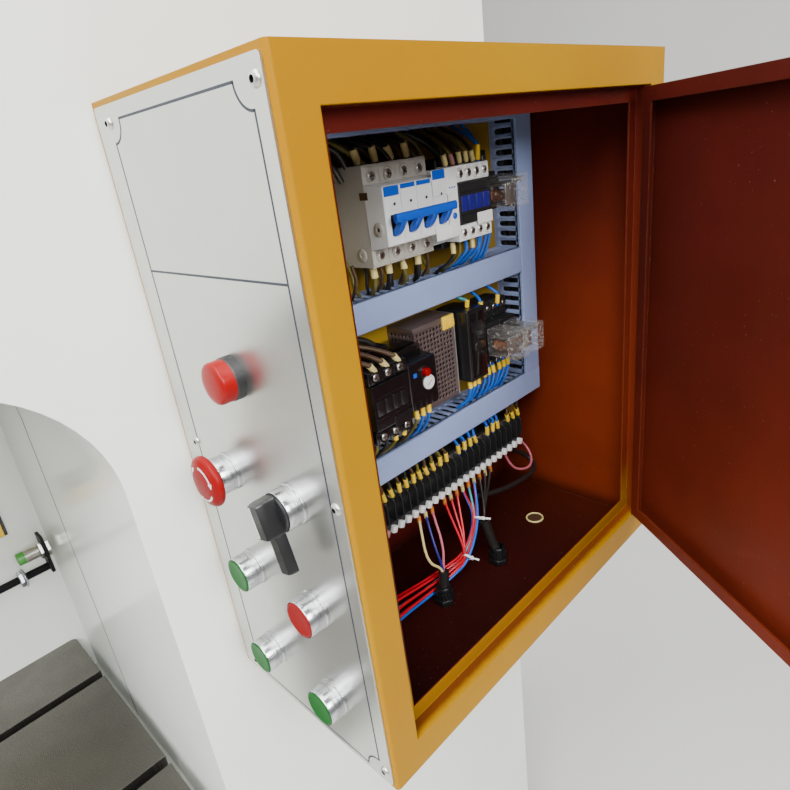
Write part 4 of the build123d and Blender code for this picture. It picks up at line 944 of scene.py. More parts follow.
ductForms = []
for level in duct.levels:
    far = duct.right if level == duct.levels[0] else duct.right - duct.width
    run = trunking(far - duct.left, duct)
    ductForms.append(run.moved(cab(plateFront, duct.left, level)))
uprightLow = duct.levels[0] + duct.width
upright = trunking(duct.top - uprightLow, duct).turned((1, 0, 0), 90)
ductForms.append(upright.moved(cab(plateFront, duct.right, uprightLow)))
piece("slotted_trunking", "frame", [(ductForms, "duct")], ["wiring_ducts"])


screwHead = Sizes(radius=2.6, rise=1.1, slot=0.7)


def slottedScrew(values, size, turn):
    # a pan head and, as a second form, the cross cut into it; the cross is drawn as a dark bar, painted shade
    # in the slots
    r, rise = values.radius * size, values.rise * size
    head = lathe([(r, 0), (r, rise * 0.6), (r * 0.8, rise), (0, rise)], 24)
    bar = block((-r * 0.8, -values.slot / 2, rise - 0.05), (r * 0.8, values.slot / 2, rise + 0.04), 0.03, 1)
    return head.turned((0, 0, 1), turn), (bar + bar.turned((0, 0, 1), 90)).turned((0, 0, 1), turn)


def screwRow(places, size, rim=0, tint=""):
    # screws that face out of the open side at (x, y, z) places, each turned its own way, with ringed recesses
    heads, cuts = [], []
    for index, place in enumerate(places):
        head, cut = slottedScrew(screwHead, size, 37 * index % 90)
        heads.append(facing(head, *place))
        cuts.append(facing(cut, *place))
    # painted shade: the cross cuts take the dark steel
    parts = [(heads, "nickel"), (cuts, "blackSteel")]
    if rim:
        r = screwHead.radius * size + 0.5
        ring = lathe([(r, 0), (r, 0.9), (r + 0.3, 1.2), (r + 0.3 + rim, 1.2), (r + 0.6 + rim, 0.8),
            (r + 0.6 + rim, 0)], 28, ring=True)
        parts.append(([facing(ring, *place) for place in places], tint))
    return parts


def profiled(outline, y0, y1, bevel=0.5, corner=0.6):
    # a device body: an (x, z) outline carried from y0 to y1
    return sideOn(prism(outline, y0, y1, bevel, corner))


def slab(x0, x1, y0, y1, z0, z1, radius=0.5, steps=2):
    # a rounded box between two levels on each axis
    return block((x0, y0, z0), (x1, y1, z1), radius, steps)


# Four-pole breaker with its side module
breakerLow = localBox("breaker_body")[0]
breaker = Sizes(pole=18, poles=4, step=36.5, nose=56.5, up=39, down=38, noseUp=23, noseDown=21, slot=7.6,
    slotFoot=4.5, slotDepth=7.5, pivotBack=8, pivotDown=9)


def well(x, y0, y1, z0, z1, slotY0, slotY1, slotZ0, slotZ1, depth):
    # a front face at x with a rectangular well: edge ring, four walls and a floor
    outer = np.array([(y0, z0), (y1, z0), (y1, z1), (y0, z1)])
    inner = np.array([(slotY0, slotZ0), (slotY1, slotZ0), (slotY1, slotZ1), (slotY0, slotZ1)])
    rows = [(outer, x), (inner, x), (inner, x - depth)]
    skin = stacked(rows)
    return Form(skin.points[:, [2, 0, 1]], [skin.faces[0], skin.faces[2]])


def breakerParts(values):
    # x runs from the rail, y from the first pole's side, z from the row's middle
    step, nose, slot = values.step, values.nose, values.slot / 2
    top, bottom, noseTop, noseBottom = values.up, -values.down, values.noseUp, -values.noseDown
    pivot, foot = -values.pivotDown, -values.pivotDown - values.slotFoot
    bodies, noses, flags, dots, shadeFills, screws = [], [], [], [], [], []
    for pole in range(values.poles):
        centre = values.pole * (pole + 0.5)
        near, far = centre - values.pole / 2 + 0.12, centre + values.pole / 2 - 0.12
        bodies.append(profiled([(0, bottom), (step, bottom), (step, top), (0, top)], near, far, 0.35, 0.9))
        wall = [(step - 1, noseBottom - 3), (nose - 0.4, noseBottom), (nose - 0.4, noseTop),
            (step - 1, noseTop + 2)]
        noses += [profiled(wall, near, far, 0.3, 1.2), well(nose, near + 0.5, far - 0.5, noseBottom + 0.8,
            noseTop - 0.8, centre - slot, centre + slot, foot, pivot + 11, values.slotDepth)]
        # painted shade: black fills the handle slot, the shade inside it
        shadeFills.append(slab(nose - values.slotDepth, nose - 0.02, centre - slot - 0.1, centre + slot + 0.1,
            foot - 0.1, pivot + 11.1, 0.1, 1))
        high = noseTop + (5.2 if pole == 3 else 0)
        flags.append(slab(nose - 0.1, nose + 0.72, centre - 8.2, centre + 7.2,
            high - (7.4 if pole in (0, 3) else 3.6), high - 0.4, 0.1, 1))
        dots.append(facing(lathe([(1.1, 0), (1.1, 0.25), (0, 0.25)], 16), nose + 0.5, centre + 1.5,
            noseTop - 13.5))
        for z, end in ((top, 1), (bottom, -1)):
            screws.append((step, centre, z - end * 8.5))
            # painted shade: black patches on the top and bottom faces, the shade inside the wire openings
            shadeFills.append(slab(step - 18, step - 7, centre - 5, centre + 5, z - end * 0.5, z + end * 0.05,
                0.05, 1))
            bodies += [slab(step - 0.6, step + 0.5, near + 0.5, far - 0.5, z - end * inner, z - end * outer,
                0.3, 1) for inner, outer in ((15.5, 14.3), (2.4, 1.2))]
    hub = lathe([(0, 0.5), (1.6, 0.5), (1.7, 0.9), (4.6, 0.9), (5.2, 0.5), (5.6, 0)], 40)
    eye = lathe([(0, 0.56), (1.5, 0.56), (1.5, 0.3)], 24)

    def onSide(form, x, z):
        # +Z of the form points out of the first pole's side
        return form.along((x, 0.12, z), (0, -1, 0))

    marks = [onSide(hub, nose - 9, pivot + 1), onSide(hub.moved((0, 0, -0.25)), step - 12, bottom + 10)]
    window = slab(step - 6, step + 3, -0.12, 0.3, noseTop - 9, noseTop - 3.5, 0.1, 1)
    return [(bodies, "greyPlastic"), (noses, "whitePlastic"), (marks, "greyPlastic"),
        (onSide(eye, nose - 9, pivot + 1), "blackPlastic"), (window, "brownPlastic"), (flags, "blue"),
        (dots + shadeFills, "blackPlastic")] + screwRow(screws, 1.25, 0.8, "greyPlastic")


sideModule = Sizes(width=13, up=27, down=34)


def moduleParts(values):
    # the narrow trip module on the breaker's far side, its shoulder rounded; from the breaker's origin
    y0 = breaker.pole * breaker.poles + 0.12
    y1 = y0 + values.width - 0.24
    nose, step, low = breaker.nose + 1, breaker.step, -values.down
    outline = eased([(0, low), (step, low), (nose - 1, -27), (nose, -24), (nose, 22), (nose - 5, values.up),
        (0, values.up)], [0.8, 3, 3, 2, 7, 7, 0.8], 5, closed=True)
    dashes = [slab(nose - 0.1, nose + 0.1, y0 + 2 + 3 * k, y0 + 3.8 + 3 * k, 12, 13.2, 0.05, 1)
        for k in range(3)]
    button = facing(lathe([(2.6, 0), (2.6, 1), (2, 1.5), (0, 1.5)], 28), nose - 0.4, (y0 + y1) / 2, -10)
    # its front cover runs on over the fourth pole, round the handle
    cover = [slab(nose - 1.2, nose - 0.35, y0 - breaker.pole + 0.2, y1 - 0.4, *levels, 0.4)
        for levels in ((8, 28), (-27, -16))]
    case = [sideOn(prism(outline, y0, y1, 0.5))] + cover
    screws = screwRow([(step, (y0 + y1) / 2, low + 5)], 0.9, 0.6, "greyPlastic")
    return [(case, "whitePlastic"), (dashes + [button], "blue")] + screws


def toggleForms(values):
    # tie bar across the poles, one curved prong and a hub to each pivot
    pivotX, pivotZ, barX = values.nose - values.pivotBack, -values.pivotDown, values.nose + 6.5
    outline = [(barX, -3.5), (barX + 5, -3.5), (barX + 5, 3.5), (barX, 3.5)]
    path = strand([(pivotX, 0, pivotZ), (pivotX + 6, 0, pivotZ - 4.5), (pivotX + 13, 0, pivotZ + 0.5),
        (barX + 2.6, 0, 0)], 6)
    hub = lathe([(0, -3.4), (5, -3.4), (5.4, -3), (5.4, 3), (5, 3.4), (0, 3.4)], 40).turned((1, 0, 0), 90)
    prong = ribbonSolid(path, np.linspace(4.2, 6.2, len(path)), 5.4) + hub.moved((pivotX, 0, pivotZ))
    return [profiled(outline, 1, values.pole * values.poles - 1, 0.7, 2.6),
        prong.repeated([(0, values.pole * (pole + 0.5), 0) for pole in range(values.poles)])]


def ribbonSolid(path, thickness, width):
    # a bar of varying thickness that bends in the (x, z) plane and is width wide along y
    tangent = unit(np.gradient(path, axis=0))
    lift = np.stack([-tangent[:, 2], np.zeros(len(path)), tangent[:, 0]], -1)
    lift = lift * np.reshape(thickness, (-1, 1)) / 2
    side = np.array([0, width / 2, 0])
    ring = [lift * 0.75 - side, lift - side * 0.75, lift + side * 0.75, lift * 0.75 + side,
        side - lift * 0.75, side * 0.75 - lift, -lift - side * 0.75, -lift * 0.75 - side]
    return Form(np.stack([path + offset for offset in ring], 1), capped(len(path), len(ring), -1))


breakerAt = cab(railFront, breakerLow[1], rows.upper)
piece("breaker_case", "frame", placed(breakerParts(breaker) + moduleParts(sideModule),
    breakerAt), ["breaker_body"])
piece("breaker_toggle", "breaker_toggle", placed([(toggleForms(breaker), "blue")], breakerAt),
    ["breaker_handle"])


# Contactors: a deep middle between two stepped terminal rows
contactorSizes = Sizes(
    control=Sizes(y0=234, width=48, z=387, body=17, terminals=31, foot=37.5, screws=4,
                  finish="blackPlastic", cap="whitePlastic", label="whitePlastic", window="navy"),
    motor=Sizes(y0=108, width=45, z=246, body=20, terminals=32, foot=40, screws=3,
                finish="glossBlack", cap="glossBlack", label="satinBlack", window="satinBlack"))


def contactorParts(values):
    # x runs from the rail, y from the near side, z from the middle
    wide, foot, body, terminals = values.width, values.foot, values.body, values.terminals
    ledge, front, pitch, span = rows.ledge, rows.front, (wide - 4) / values.screws, (wide - 8) / 4
    bodies = [profiled([(0, -foot), (ledge, -foot), (ledge, foot), (0, foot)], 0, wide, 0.6, 1),
        profiled([(ledge - 2, -body - 2), (front + 2, -body), (front + 2, body), (ledge - 2, body + 2)], 1.2,
        wide - 1.2, 0.8, 1.6), slab(6, ledge - 6, 0, 3, 5 - foot, foot - 5, 0.8)]
    caps, screws, openingShades = [], [], []
    for end in (-1, 1):
        low, high = sorted((end * (body + 0.6), end * terminals))
        caps.append(slab(ledge - 4, front, 0.6, wide - 0.6, low, high, 0.8))
        for index in range(values.screws):
            y = 2 + pitch * index
            screws.append((front + 0.05, y + pitch / 2, (low + high) / 2))
            caps.append(slab(front - 0.4, front + 0.5, y + 0.3, y + 1, low + 0.6, high - 0.6, 0.2, 1))
            # painted shade: dark patches in the terminal ends, the shade inside the wire openings
            openingShades.append(slab(ledge - 3, front - 3, y + pitch / 2 - 2.6, y + pitch / 2 + 2.6,
                end * (terminals - 0.4), end * (terminals + 0.06), 0.05, 1))
    ribs = [slab(front + 1, front + 2.5, 4.4 + span * k, 3.6 + span * (k + 1), -6.5, 6.5, 0.6)
        for k in range(4)]
    # painted shade: the two front grooves are dark strips
    grooves = [slab(front + 1.7, front + 2.05, 3, wide - 3, z, z + 0.7, 0.05, 1) for z in (-9.6, 8.8)]
    label = slab(front + 1.4, front + 2.4, wide - 23, wide - 1.6, -body - 3, 7 - body, 0.3, 1)
    return placed([(bodies, values.finish), (caps, values.cap), (ribs, values.window),
        (openingShades + grooves, "blackSteel"), (label, values.label)] + screwRow(screws, 1.2, 0.6, values.cap),
        cab(railFront, values.y0, values.z))


piece("contactor_pair", "frame", contactorParts(contactorSizes.control)
    + contactorParts(contactorSizes.motor), ["contactors"])


# Thermal relay beside the motor contactor, with its dial and reset pin
overloadLow, overloadHigh = localBox("overload_relay")
resetLow, resetHigh = localBox("overload_reset")
resetMid = (resetLow + resetHigh) / 2


def overloadParts():
    # x runs from the rail, y from the near side, z from the row's middle
    y0 = overloadLow[1] + 0.15
    wide, ledge, front = overloadHigh[1] - 0.15 - y0, rows.ledge, rows.front
    resetY, resetZ = resetMid[1] - y0, resetMid[2] - rows.lower
    body = [profiled([(0, -29), (ledge, -29), (ledge, 31), (0, 31)], 0, wide, 0.6, 1),
        profiled([(ledge - 2, -22), (front - 0.3, -20), (front - 0.3, 23), (ledge - 2, 25)], 0, wide, 0.8, 2),
        slab(ledge - 4, ledge + 4, 1, wide - 1, 24, 31, 0.8)]
    body += [slab(front - 1, front + 0.3, 3 + 7.4 * k, 9 + 7.4 * k, -20, -12, 0.5) for k in range(4)]
    bezelForm = lathe([(4.2, 0), (4.2, 1.2), (5.2, 1.2), (5.8, 0.3), (5.8, 0)], 48, ring=True)
    dial = lathe([(0, 1.9), (5.2, 1.9), (5.8, 1.4), (6.4, 1.2), (6.7, 0)], 48)
    slot = block((-3.4, -0.5, 1.8), (3.4, 0.5, 2), 0.05, 1).turned((0, 0, 1), 35)
    tick = block((4.2, -0.2, 1.8), (5.2, 0.2, 2), 0.05, 1)
    faded = together([tick.turned((0, 0, 1), angle) for angle in range(-40, 221, 26)] + [slot])
    screws = [(ledge + 0.1, 6.5 + 11 * k, -25.5) for k in range(3)]
    test = slab(front - 0.4, front + 0.6, 5, 9, resetZ - 2, resetZ + 2, 0.4)
    return placed([(body, "glossBlack"), (facing(bezelForm, front - 0.3, resetY, resetZ), "satinBlack"),
        (facing(dial, front, resetY + 4, 1), "whitePlastic"), (facing(faded, front, resetY + 4, 1), "faded"),
        (test, "blue")] + screwRow(screws, 1.2, 0.6, "satinBlack"), cab(railFront, y0, rows.lower))


piece("thermal_relay", "frame", overloadParts(), ["overload_relay"])
resetForm = lathe([(0, 11), (2.9, 11), (3.5, 10.6), (3.8, 9.8), (3.8, 0), (0, 0)], 40)
piece("reset_pin_cap", "reset_pin",
    placed([(facing(resetForm, resetLow[0], *resetMid[1:]), "red")], cabCorner), ["overload_reset"])


# Power supply: a perforated cover over a dark inside, with a bright side sheet and a yellow cap; the cover
# and its top take a darker copy of the side sheet's steel as painted shade
supplyLow, supplyHigh = localBox("power_supply")
supply = Sizes(hole=3.1, pitch=4.6, wall=0.9, edge=2, lid=1)


def supplyParts(values):
    # x, y and z run from the unit's own low corner
    deep, wide, tall = supplyHigh - supplyLow
    pitch, edge, wall, lid = values.pitch, values.edge, values.wall, tall - values.lid
    ring = np.arange(12) * 2 * np.pi / 12 + np.pi / 12
    hole = np.stack([np.cos(ring), np.sin(ring)], -1) * values.hole / 2

    def perforated(width, height):
        # cells from the edge inwards, with plain strips that fill up to the sheet's own outline
        counts = (int((width - 2 * edge) / pitch), int((height - 2 * edge) / pitch))
        left, foot = (width - counts[0] * pitch) / 2, (height - counts[1] * pitch) / 2
        cells = cellGrid(pitch, pitch, wall, hole, 0.3, counts, (pitch, pitch))
        top, right = height - foot, width - left
        strips = [block((0, 0, -wall), (width, foot, 0), 0.3),
            block((0, top, -wall), (width, height, 0), 0.3), block((0, foot, -wall), (left, top, 0), 0.05, 1),
            block((right, foot, -wall), (width, top, 0), 0.05, 1)]
        return cells.moved((left + pitch / 2, foot + pitch / 2, 0)) + together(strips)

    cover = [perforated(wide - 1.5, lid).along((deep, 0, 0), (1, 0, 0)),
        perforated(deep, lid).along((0, 0, 0), (0, -1, 0)), block((0, 0, 0), (deep, wide - 1.5, wall), 0.3)]
    inside = [block((2, 3, 3), (5, wide - 3, tall - 4), 0.3), block((5, 12, 14), (deep - 7, 34, 36), 1.5)]
    for radius, height, y, z in ((7, 20, 12, 20), (6, 18, 14, 44)):
        coil = lathe([(0, height), (radius - 0.5, height), (radius, height - 1), (radius, 0)], 28)
        inside.append(coil.along((5, wide - y, z), (1, 0, 0)))
    tab = block((deep + 1, wide - 17, tall - 11), (deep + 2.6, wide - 14.4, tall - 4), 0.4)
    cap = [block((deep - 1, wide - 18, tall - 12.5), (deep + 1.6, wide - 2.2, tall + 0.4), 0.8),
        tab.repeated([(0, 3.9 * k, 0) for k in range(4)])]
    # painted shade: the perforated cover and the top take the darker steel, the side sheet the bright one
    drawn = [(cover, "smokedSteel"), (block((0, wide - 1.4, 0), (deep, wide, tall), 0.3), "sheetSteel"),
        (block((0, 0, lid), (deep, wide - 1.5, tall), 0.3), "smokedSteel"), (inside, "brownPlastic"),
        (cap, "yellowTube")]
    return placed(drawn, cab(*supplyLow))


piece("supply_unit", "frame", supplyParts(supply), ["power_supply"])


# Sockets, timer and clear plug-in relays
relay = Sizes(width=21, height=28, length=37, out=35.5, socket=25, places=[(290.5, 390), (282, 248),
    (308.5, 248)], timerY=251, timerWidth=28)


def socketParts(values):
    # x runs from the rail
    start, ledge = values.out, values.out - 10
    bodies, screws = [], []
    for y, z in values.places:
        y0, y1 = y - 1.9, y - 2.1 + values.socket
        bodies.append(profiled([(0, z - 36), (ledge, z - 36), (ledge, z - 17), (start - 0.4, z - 17),
            (start - 0.4, z + 17), (ledge, z + 17), (ledge, z + 36), (0, z + 36)], y0, y1, 0.5, 0.7))
        for end in (-1, 1):
            for k in range(3):
                centre = y0 + 4.3 + 8 * k
                screws.append((ledge, centre, z + end * 29))
                bodies.append(slab(ledge - 0.5, ledge + 1.6, centre - 4, centre - 3.2, z + end * 19,
                    z + end * 34, 0.2, 1))
            bodies.append(slab(ledge - 0.5, ledge + 2.4, y0 + 0.6, y1 - 0.6, z + end * 19.5, z + end * 22,
                0.4))
    y0, y1, z = values.timerY + 0.1, values.timerY + values.timerWidth - 0.1, rows.lower
    knobForm = lathe([(0, 3.6), (4.6, 3.6), (5.2, 3), (6.4, 1), (6.6, 0)], 48)
    knob = facing(knobForm.moved((0, 0, -3.2)), start + 3.7, (y0 + y1) / 2, z + 4)
    case = slab(0, start + 3.4, y0, y1, z - 30, z + 42, 1.6, 4)
    face = slab(start + 3, start + 3.7, y0 + 2.5, y1 - 2.5, z - 26, z + 38, 0.4)
    window = slab(start + 3.4, start + 3.85, y0 + 6, y1 - 6, z + 20, z + 30, 0.2)
    parts = [(bodies, "blackPlastic"), (case, "satinBlack"), (face, "glossBlack"),
        (knob + window, "satinBlack")]
    return placed(parts + screwRow(screws, 0.95, 0.5, "blackPlastic"), cab(railFront, 0, 0))


piece("socket_group", "frame", socketParts(relay), ["relay_sockets"])


def relayParts(values):
    # clear case over a coil with its frame, a hinged armature, springs and contact blades, drawn once
    width, half = values.width, values.height / 2
    case = block((1, 0, -half), (values.length, width, half), 1.5, 4)
    foot = block((0.1, 0.5, 0.5 - half), (5, width - 0.5, half - 0.5), 0.5)
    coil = lathe([(0, 0), (6.6, 0), (6.6, 1.2), (5.4, 1.3), (5.4, 14.5), (6.6, 14.6), (6.6, 15.8), (0, 15.8)],
        32)
    tip = lathe([(0, -0.7), (1.1, -0.7), (1.1, 0.7), (0, 0.7)], 14)
    blades = [block((5, 3, -12.4), (24, width - 3, -11.2), 0.3),
        block((22.4, 3.5, -12), (23.8, width - 3.5, 6), 0.3), block((5, 4, 4), (26, width - 4, 5.4), 0.3)]
    for k in range(4):
        at = 3.6 + 4.5 * k
        blades += [block((5, at, 7), (32, at + 0.8, 8), 0.15), block((5, at, 10.4), (33, at + 0.8, 11.2),
            0.15), tip.moved((31, at + 0.4, 9.2))]
    drawn = [(case, "clear"), (coil.along((6, width / 2, -4), (1, 0, 0)), "copper"),
        (together(blades), "nickel"), (foot, "blackPlastic")]
    places = [cab(railFront + values.out, y, z) for y, z in values.places]
    return [(form.repeated(places), finish) for form, finish in drawn]


piece("clear_relays", "frame", relayParts(relay), ["plug_relays"])


# Terminal strip: barriers, screws on plates, and a row of loose markers
stripLow, stripHigh = localBox("terminal_strip")
strip = Sizes(pitch=10, front=21, lip=8, barrier=1.4)


def stripParts(values):
    # x runs from the plate, y and z from the strip's low corner
    long, tall = (stripHigh - stripLow)[1:]
    count = int(round(long / values.pitch))
    front, lip, half = values.front, values.front + values.lip, values.barrier / 2
    body = profiled([(0, 0), (front, 0), (front, 6), (lip, 6), (lip, 17), (front, 17), (front, tall),
        (0, tall)], 0, long, 0.3, 0.5)
    wall = [(front - 1, 18), (lip + 2.8, 18), (lip + 2.8, tall - 6), (lip, tall - 3), (front - 1, tall - 3)]
    middles = np.clip(np.arange(count + 1) * values.pitch, half, long - half)
    barriers = [profiled(wall, middle - half, middle + half, 0.2, 1) for middle in middles]
    marker = block((-2.3, -2.9, -3.6), (2.3, 2.9, 3.6), 0.7).turned((1, 0, 0), -24)
    plates, screws, markers = [], [], []
    for index in range(count):
        centre = values.pitch * (index + 0.5)
        plates.append(slab(front - 0.3, front + 0.7, centre - 3.6, centre + 3.6, 19, tall - 2, 0.2))
        screws += [(front + 0.7, centre, 24), (front + 0.7, centre, tall - 9)]
        markers.append(marker.moved((lip + 2.2, centre, 11.5)))
    return placed([([body] + barriers, "blackPlastic"), (plates, "nickel"), (markers[1:], "whitePlastic"),
        (markers[0], "faded")] + screwRow(screws, 1.15), cab(plateFront, *stripLow[1:]))


piece("barrier_strip", "frame", stripParts(strip), ["terminal_strip"])
print("devices made")


# Wires: every run is a strand with slack; a run with a marker colour also gets a crimped tip at its terminal
# and a marker tube beside it
wiring = Sizes(radius=1.55, thick=2.3, samples=7, sides=10, tip=2.5, tube=9.5, slack=2.6, duct=19, seed=11)
ductIn = plateFront + wiring.duct
rng = np.random.default_rng(wiring.seed)
bundle = {}


def keep(finish, form):
    # wires gather by their finish until the whole bundle is made
    bundle.setdefault(finish, []).append(form)


def collarForm(radius, length):
    # a short tube with rolled ends, from the origin along +Z
    return lathe([(radius * 0.8, 0), (radius, 0.3), (radius, length - 0.3), (radius * 0.8, length)], 14)


def wireRun(start, end, cover, tint="", radius=wiring.radius, lean=0, length=wiring.tube, values=wiring):
    # leaves its terminal at a slant, swings with some slack, and goes into the trunking's wall;
    # start is (x from the rail, y, z), end is (x from the trunking, y from the start's, z)
    start = np.array([railFront + start[0], start[1], start[2]])
    end = np.array([ductIn + end[0], start[1] + end[1], end[2]])
    way = np.sign(end[2] - start[2])
    span = abs(end[2] - start[2])
    lead = min(length + values.tip, span * 0.6)
    jog = rng.uniform(-1, 1, 3) * values.slack
    tilt = unit(np.array([0.12, lean + 0.05 * jog[2], way]))
    middle = (start + end) / 2 + (abs(jog[0]) + 2, jog[1], way * span * 0.22)
    entry = end - (0, 0, way) + (3, jog[1] * 0.3, 0)
    points = np.array([start - tilt, start + tilt * lead * 0.5, start + tilt * lead, middle, entry,
        end + (-2, 0, way * 5)])
    keep(cover, tube(strand(points, values.samples), radius, values.sides))
    if tint:
        keep("nickel", collarForm(radius * 0.62, values.tip + 1).along(start - tilt, tilt))
        keep(tint, collarForm(radius + 0.8, min(length, lead - 0.5)).along(start + tilt * values.tip * 0.5,
            tilt))


lowDuct, midDuct, topDuct = duct.levels
midTop, lowTop = midDuct + duct.width, lowDuct + duct.width
for pole in range(breaker.poles):
    y = breakerLow[1] + breaker.pole * (pole + 0.5)
    wireRun((breaker.step - 12, y, rows.upper + 39), (-8, -19, topDuct), "wireBlack", "ivory", wiring.thick,
        -0.45, 12)
    wireRun((breaker.step - 12, y, rows.upper - 38), (0, 6, midTop), ("wireOlive", "wireBlack")[pole % 2],
        "ivory", wiring.thick, -0.1, 9)
values = contactorSizes.control
for index in range(5):
    y = values.y0 + 4 + 9.2 * index
    wireRun((40, y, values.z + 31), (0, -13, topDuct), ("wireBlack", "wireOlive")[index % 2],
        ("ivory", "faded")[index == 1], lean=-0.35)
    wireRun((40, y, values.z - 31), (0, 2, midTop), ("wireBlack", "wireOlive", "wireBlue", "wireBlue",
        "wireBlue")[index], ("ivory", "", "")[index % 3])
wireRun((42, y + 4, values.z + 31), (0, 1, topDuct), "wireBlue", "yellowTube", length=13)

# Dark runs behind the breaker, down from the trunking above and up from the one below
behind = Sizes(upper=15, lower=13, start=92, pitch=9.6)
for index in range(behind.upper):
    wireRun((8 + 9 * (index % 3), behind.start + 22 + behind.pitch * index, rows.upper + 30),
        (-4, -27, topDuct), ("wireBlack", "wireOlive", "wireBlack", "wireBrown")[index % 4], "", wiring.thick,
        -0.6)
for index in range(behind.lower):
    wireRun((8 + 9 * (index % 3), behind.start + 20 + behind.pitch * index, rows.upper - 34), (-4, 9, midTop),
        ("wireOlive", "wireBlack", "wireBrown")[index % 3], lean=0.2)

# Motor contactor: thick leads from the upper left, ferruled leads out of the thermal relay
values = contactorSizes.motor
for index in range(3):
    y = values.y0 + 8.5 + 13.7 * index
    wireRun((49, y + 3, values.z + 29), (0, -39, midDuct - 2), "wireBrown", "ivory", 2, -0.8, 9)
    wireRun((20, y + 8, values.z + 30), (0, -28, midDuct - 1), "wireBlack", "", 2.6, -0.5)
for index in range(4):
    wireRun((43, overloadLow[1] + 3 + 8.4 * index, rows.lower - 21), (4, (-6, 2, 4, 9)[index], lowTop),
        ("wireBlack", "wireOlive", "wireBlue", "wireBlue")[index], "yellowTube", lean=-0.15)
    wireRun((46, values.y0 + 5 + 11 * index, values.z - 31), (0, -9, lowTop),
        ("wireOlive", "wireBlack")[index % 2], "yellowTube" if index > 1 else "", lean=-0.3, length=6)
for y, z in relay.places:
    low, high = (midTop, topDuct) if z > 300 else (lowTop, midDuct)
    for k in range(3):
        wireRun((relay.out - 8, y + 2.4 + 8 * k, z - 30), (3, -1, low), "wireBlue", "yellowTube", length=8)
    wireRun((relay.out - 8, y + 6, z + 30), (0, -3, high), "wireBlue", "yellowTube", lean=-0.1)
for k in range(3):
    wireRun((32, relay.timerY + 5 + 7 * k, rows.lower - 29), (2, -3, lowTop), "wireBlue", "yellowTube",
        lean=-0.1, length=8)
wireRun((28, relay.timerY + 14, rows.lower + 41), (0, -5, midDuct), "wireCyan", "yellowTube")

# Thick strands lie inside the trunking and darken its slots
filling = Sizes(radius=5.2, wave=1.6, rise=(8, 17), lift=(6.5, 18))


def packedStrands(length, values):
    # y runs along the trunking; x and z wander by a sine of their own
    y = np.linspace(4, length - 4, int(length / 14))
    forms = []
    for index, (lift, rise) in enumerate((a, b) for a in values.lift for b in values.rise):
        sway = values.wave * np.sin(y / 21 + 2.1 * index)
        forms.append(tube(np.stack([lift + 0.5 * sway, y, rise + sway], -1), values.radius, 10))
    return together(forms)


run = packedStrands(duct.right - duct.left - 4, filling)
for level in duct.levels:
    keep("wireBlack", run.moved((plateFront, duct.left, level)))
upright = packedStrands(duct.top - lowTop, filling).turned((1, 0, 0), 90)
keep("wireBlack", upright.moved((plateFront, duct.right, lowTop)))

# Terminal strip: wires up from the terminals, in the groups that the photograph shows
upper = "Kk Kk Kk OkOOk .BBBB.BBB.kkn"
coverKeys = {"K": "wireBlack", "k": "wireBrown", "O": "wireOlive", "B": "wireBlue", "n": "wireBlack"}
stripFace = plateFront + strip.front + 3.2
for k, key in enumerate(upper.replace(" ", "")):
    x, y = stripFace - railFront, stripLow[1] + strip.pitch * (k + 0.5)
    if key != ".":
        wireRun((x, y, stripHigh[2] - 5), (0, -7, lowDuct), coverKeys[key], "yellowTube",
            lean=rng.uniform(-0.45, -0.1), length=11)
        wireRun((x - 4, y + 3, stripHigh[2] - 3), (-6, -12, lowDuct), coverKeys[key], "", 1.2, -0.3)

gland = Sizes(places=[(-101, 175), (-94, 259)], radius=9, nut=11, cable=5.4)
loom = Sizes(radius=1.35, spread=3.9, samples=10, tie=5, foot=stripLow[2] + 1)


def terminal(index):
    # where a wire meets the strip's lower row
    return np.array([stripFace, stripLow[1] + strip.pitch * (index + 0.5), loom.foot])


def core(base, cover, index, count, terminals, tail=(), values=loom):
    # one wire of a loom: from its terminal it joins the shared way, shifted by its own place in the round
    angle = 2 * np.pi * index / count
    shift = values.spread * np.array([np.cos(angle), 0.35 * np.sin(angle), np.sin(angle)])
    shared = np.array(base, float) + (shift * np.linspace(0.75, 2.8, len(base))[:, None] if count > 1 else 0)
    start = terminal(terminals)
    points = np.vstack([start, start + (1, 0, -9), shared, np.array(tail, float).reshape(-1, 3)])
    keep(cover, tube(strand(points, values.samples), values.radius, 10))
    keep("orangeTube" if terminals % 2 else "ivory", collarForm(values.radius + 0.7, 8).along(start,
        (0.1, 0, -1)))


def tieBand(place, direction, values=loom):
    # a nylon band with its lock and a clipped tail
    r = values.tie
    band = lathe([(r - 0.9, -1.2), (r - 0.2, -1.2), (r, -0.8), (r, 0.8), (r - 0.2, 1.2), (r - 0.9, 1.2)], 24,
        ring=True)
    lock = block((r - 0.8, -2, -1.8), (r + 2.2, 2, 1.8), 0.5) + block((r, -0.5, -1), (r + 9, 0.5, 1), 0.3)
    keep("whitePlastic", (band + lock).along(place, direction))


# Red, blue and pale blue wires run from two ties to the backs of the buttons
tieA, tieB = (-110, 249, 58), (-100, 214, 33)
onward = [(-112, 199, 19), (-117, 165, 15), (-112, 120, 26), (-104, 84, 34)]
ends = [(controls[key][0] + side * 7, backBlock.far - 4, controls[key][1] + 13)
    for key in ("down", "back", "start", "stop") for side in (-1, 1)]
loomPlan = [("wireRed", 9), ("wireRed", 10), ("wireRed", 11), ("wireRed", 12), ("wireBlue", 12),
    ("wireCyan", 13), ("wireRed", 14), ("wireBlue", 14)]
for index, (cover, place) in enumerate(loomPlan):
    near = [tieA] if place > 11 else []
    end = np.array(ends[index])
    core(near + [tieB] + onward, cover, index, len(loomPlan), place,
        [(end[0] * 0.5 - 52, 58, end[2] * 0.6 + 20), end + (0, 12, 14), end])
tieBand(tieA, (0.3, -0.6, -0.7))
tieBand(tieB, (0.2, -0.8, -0.5))


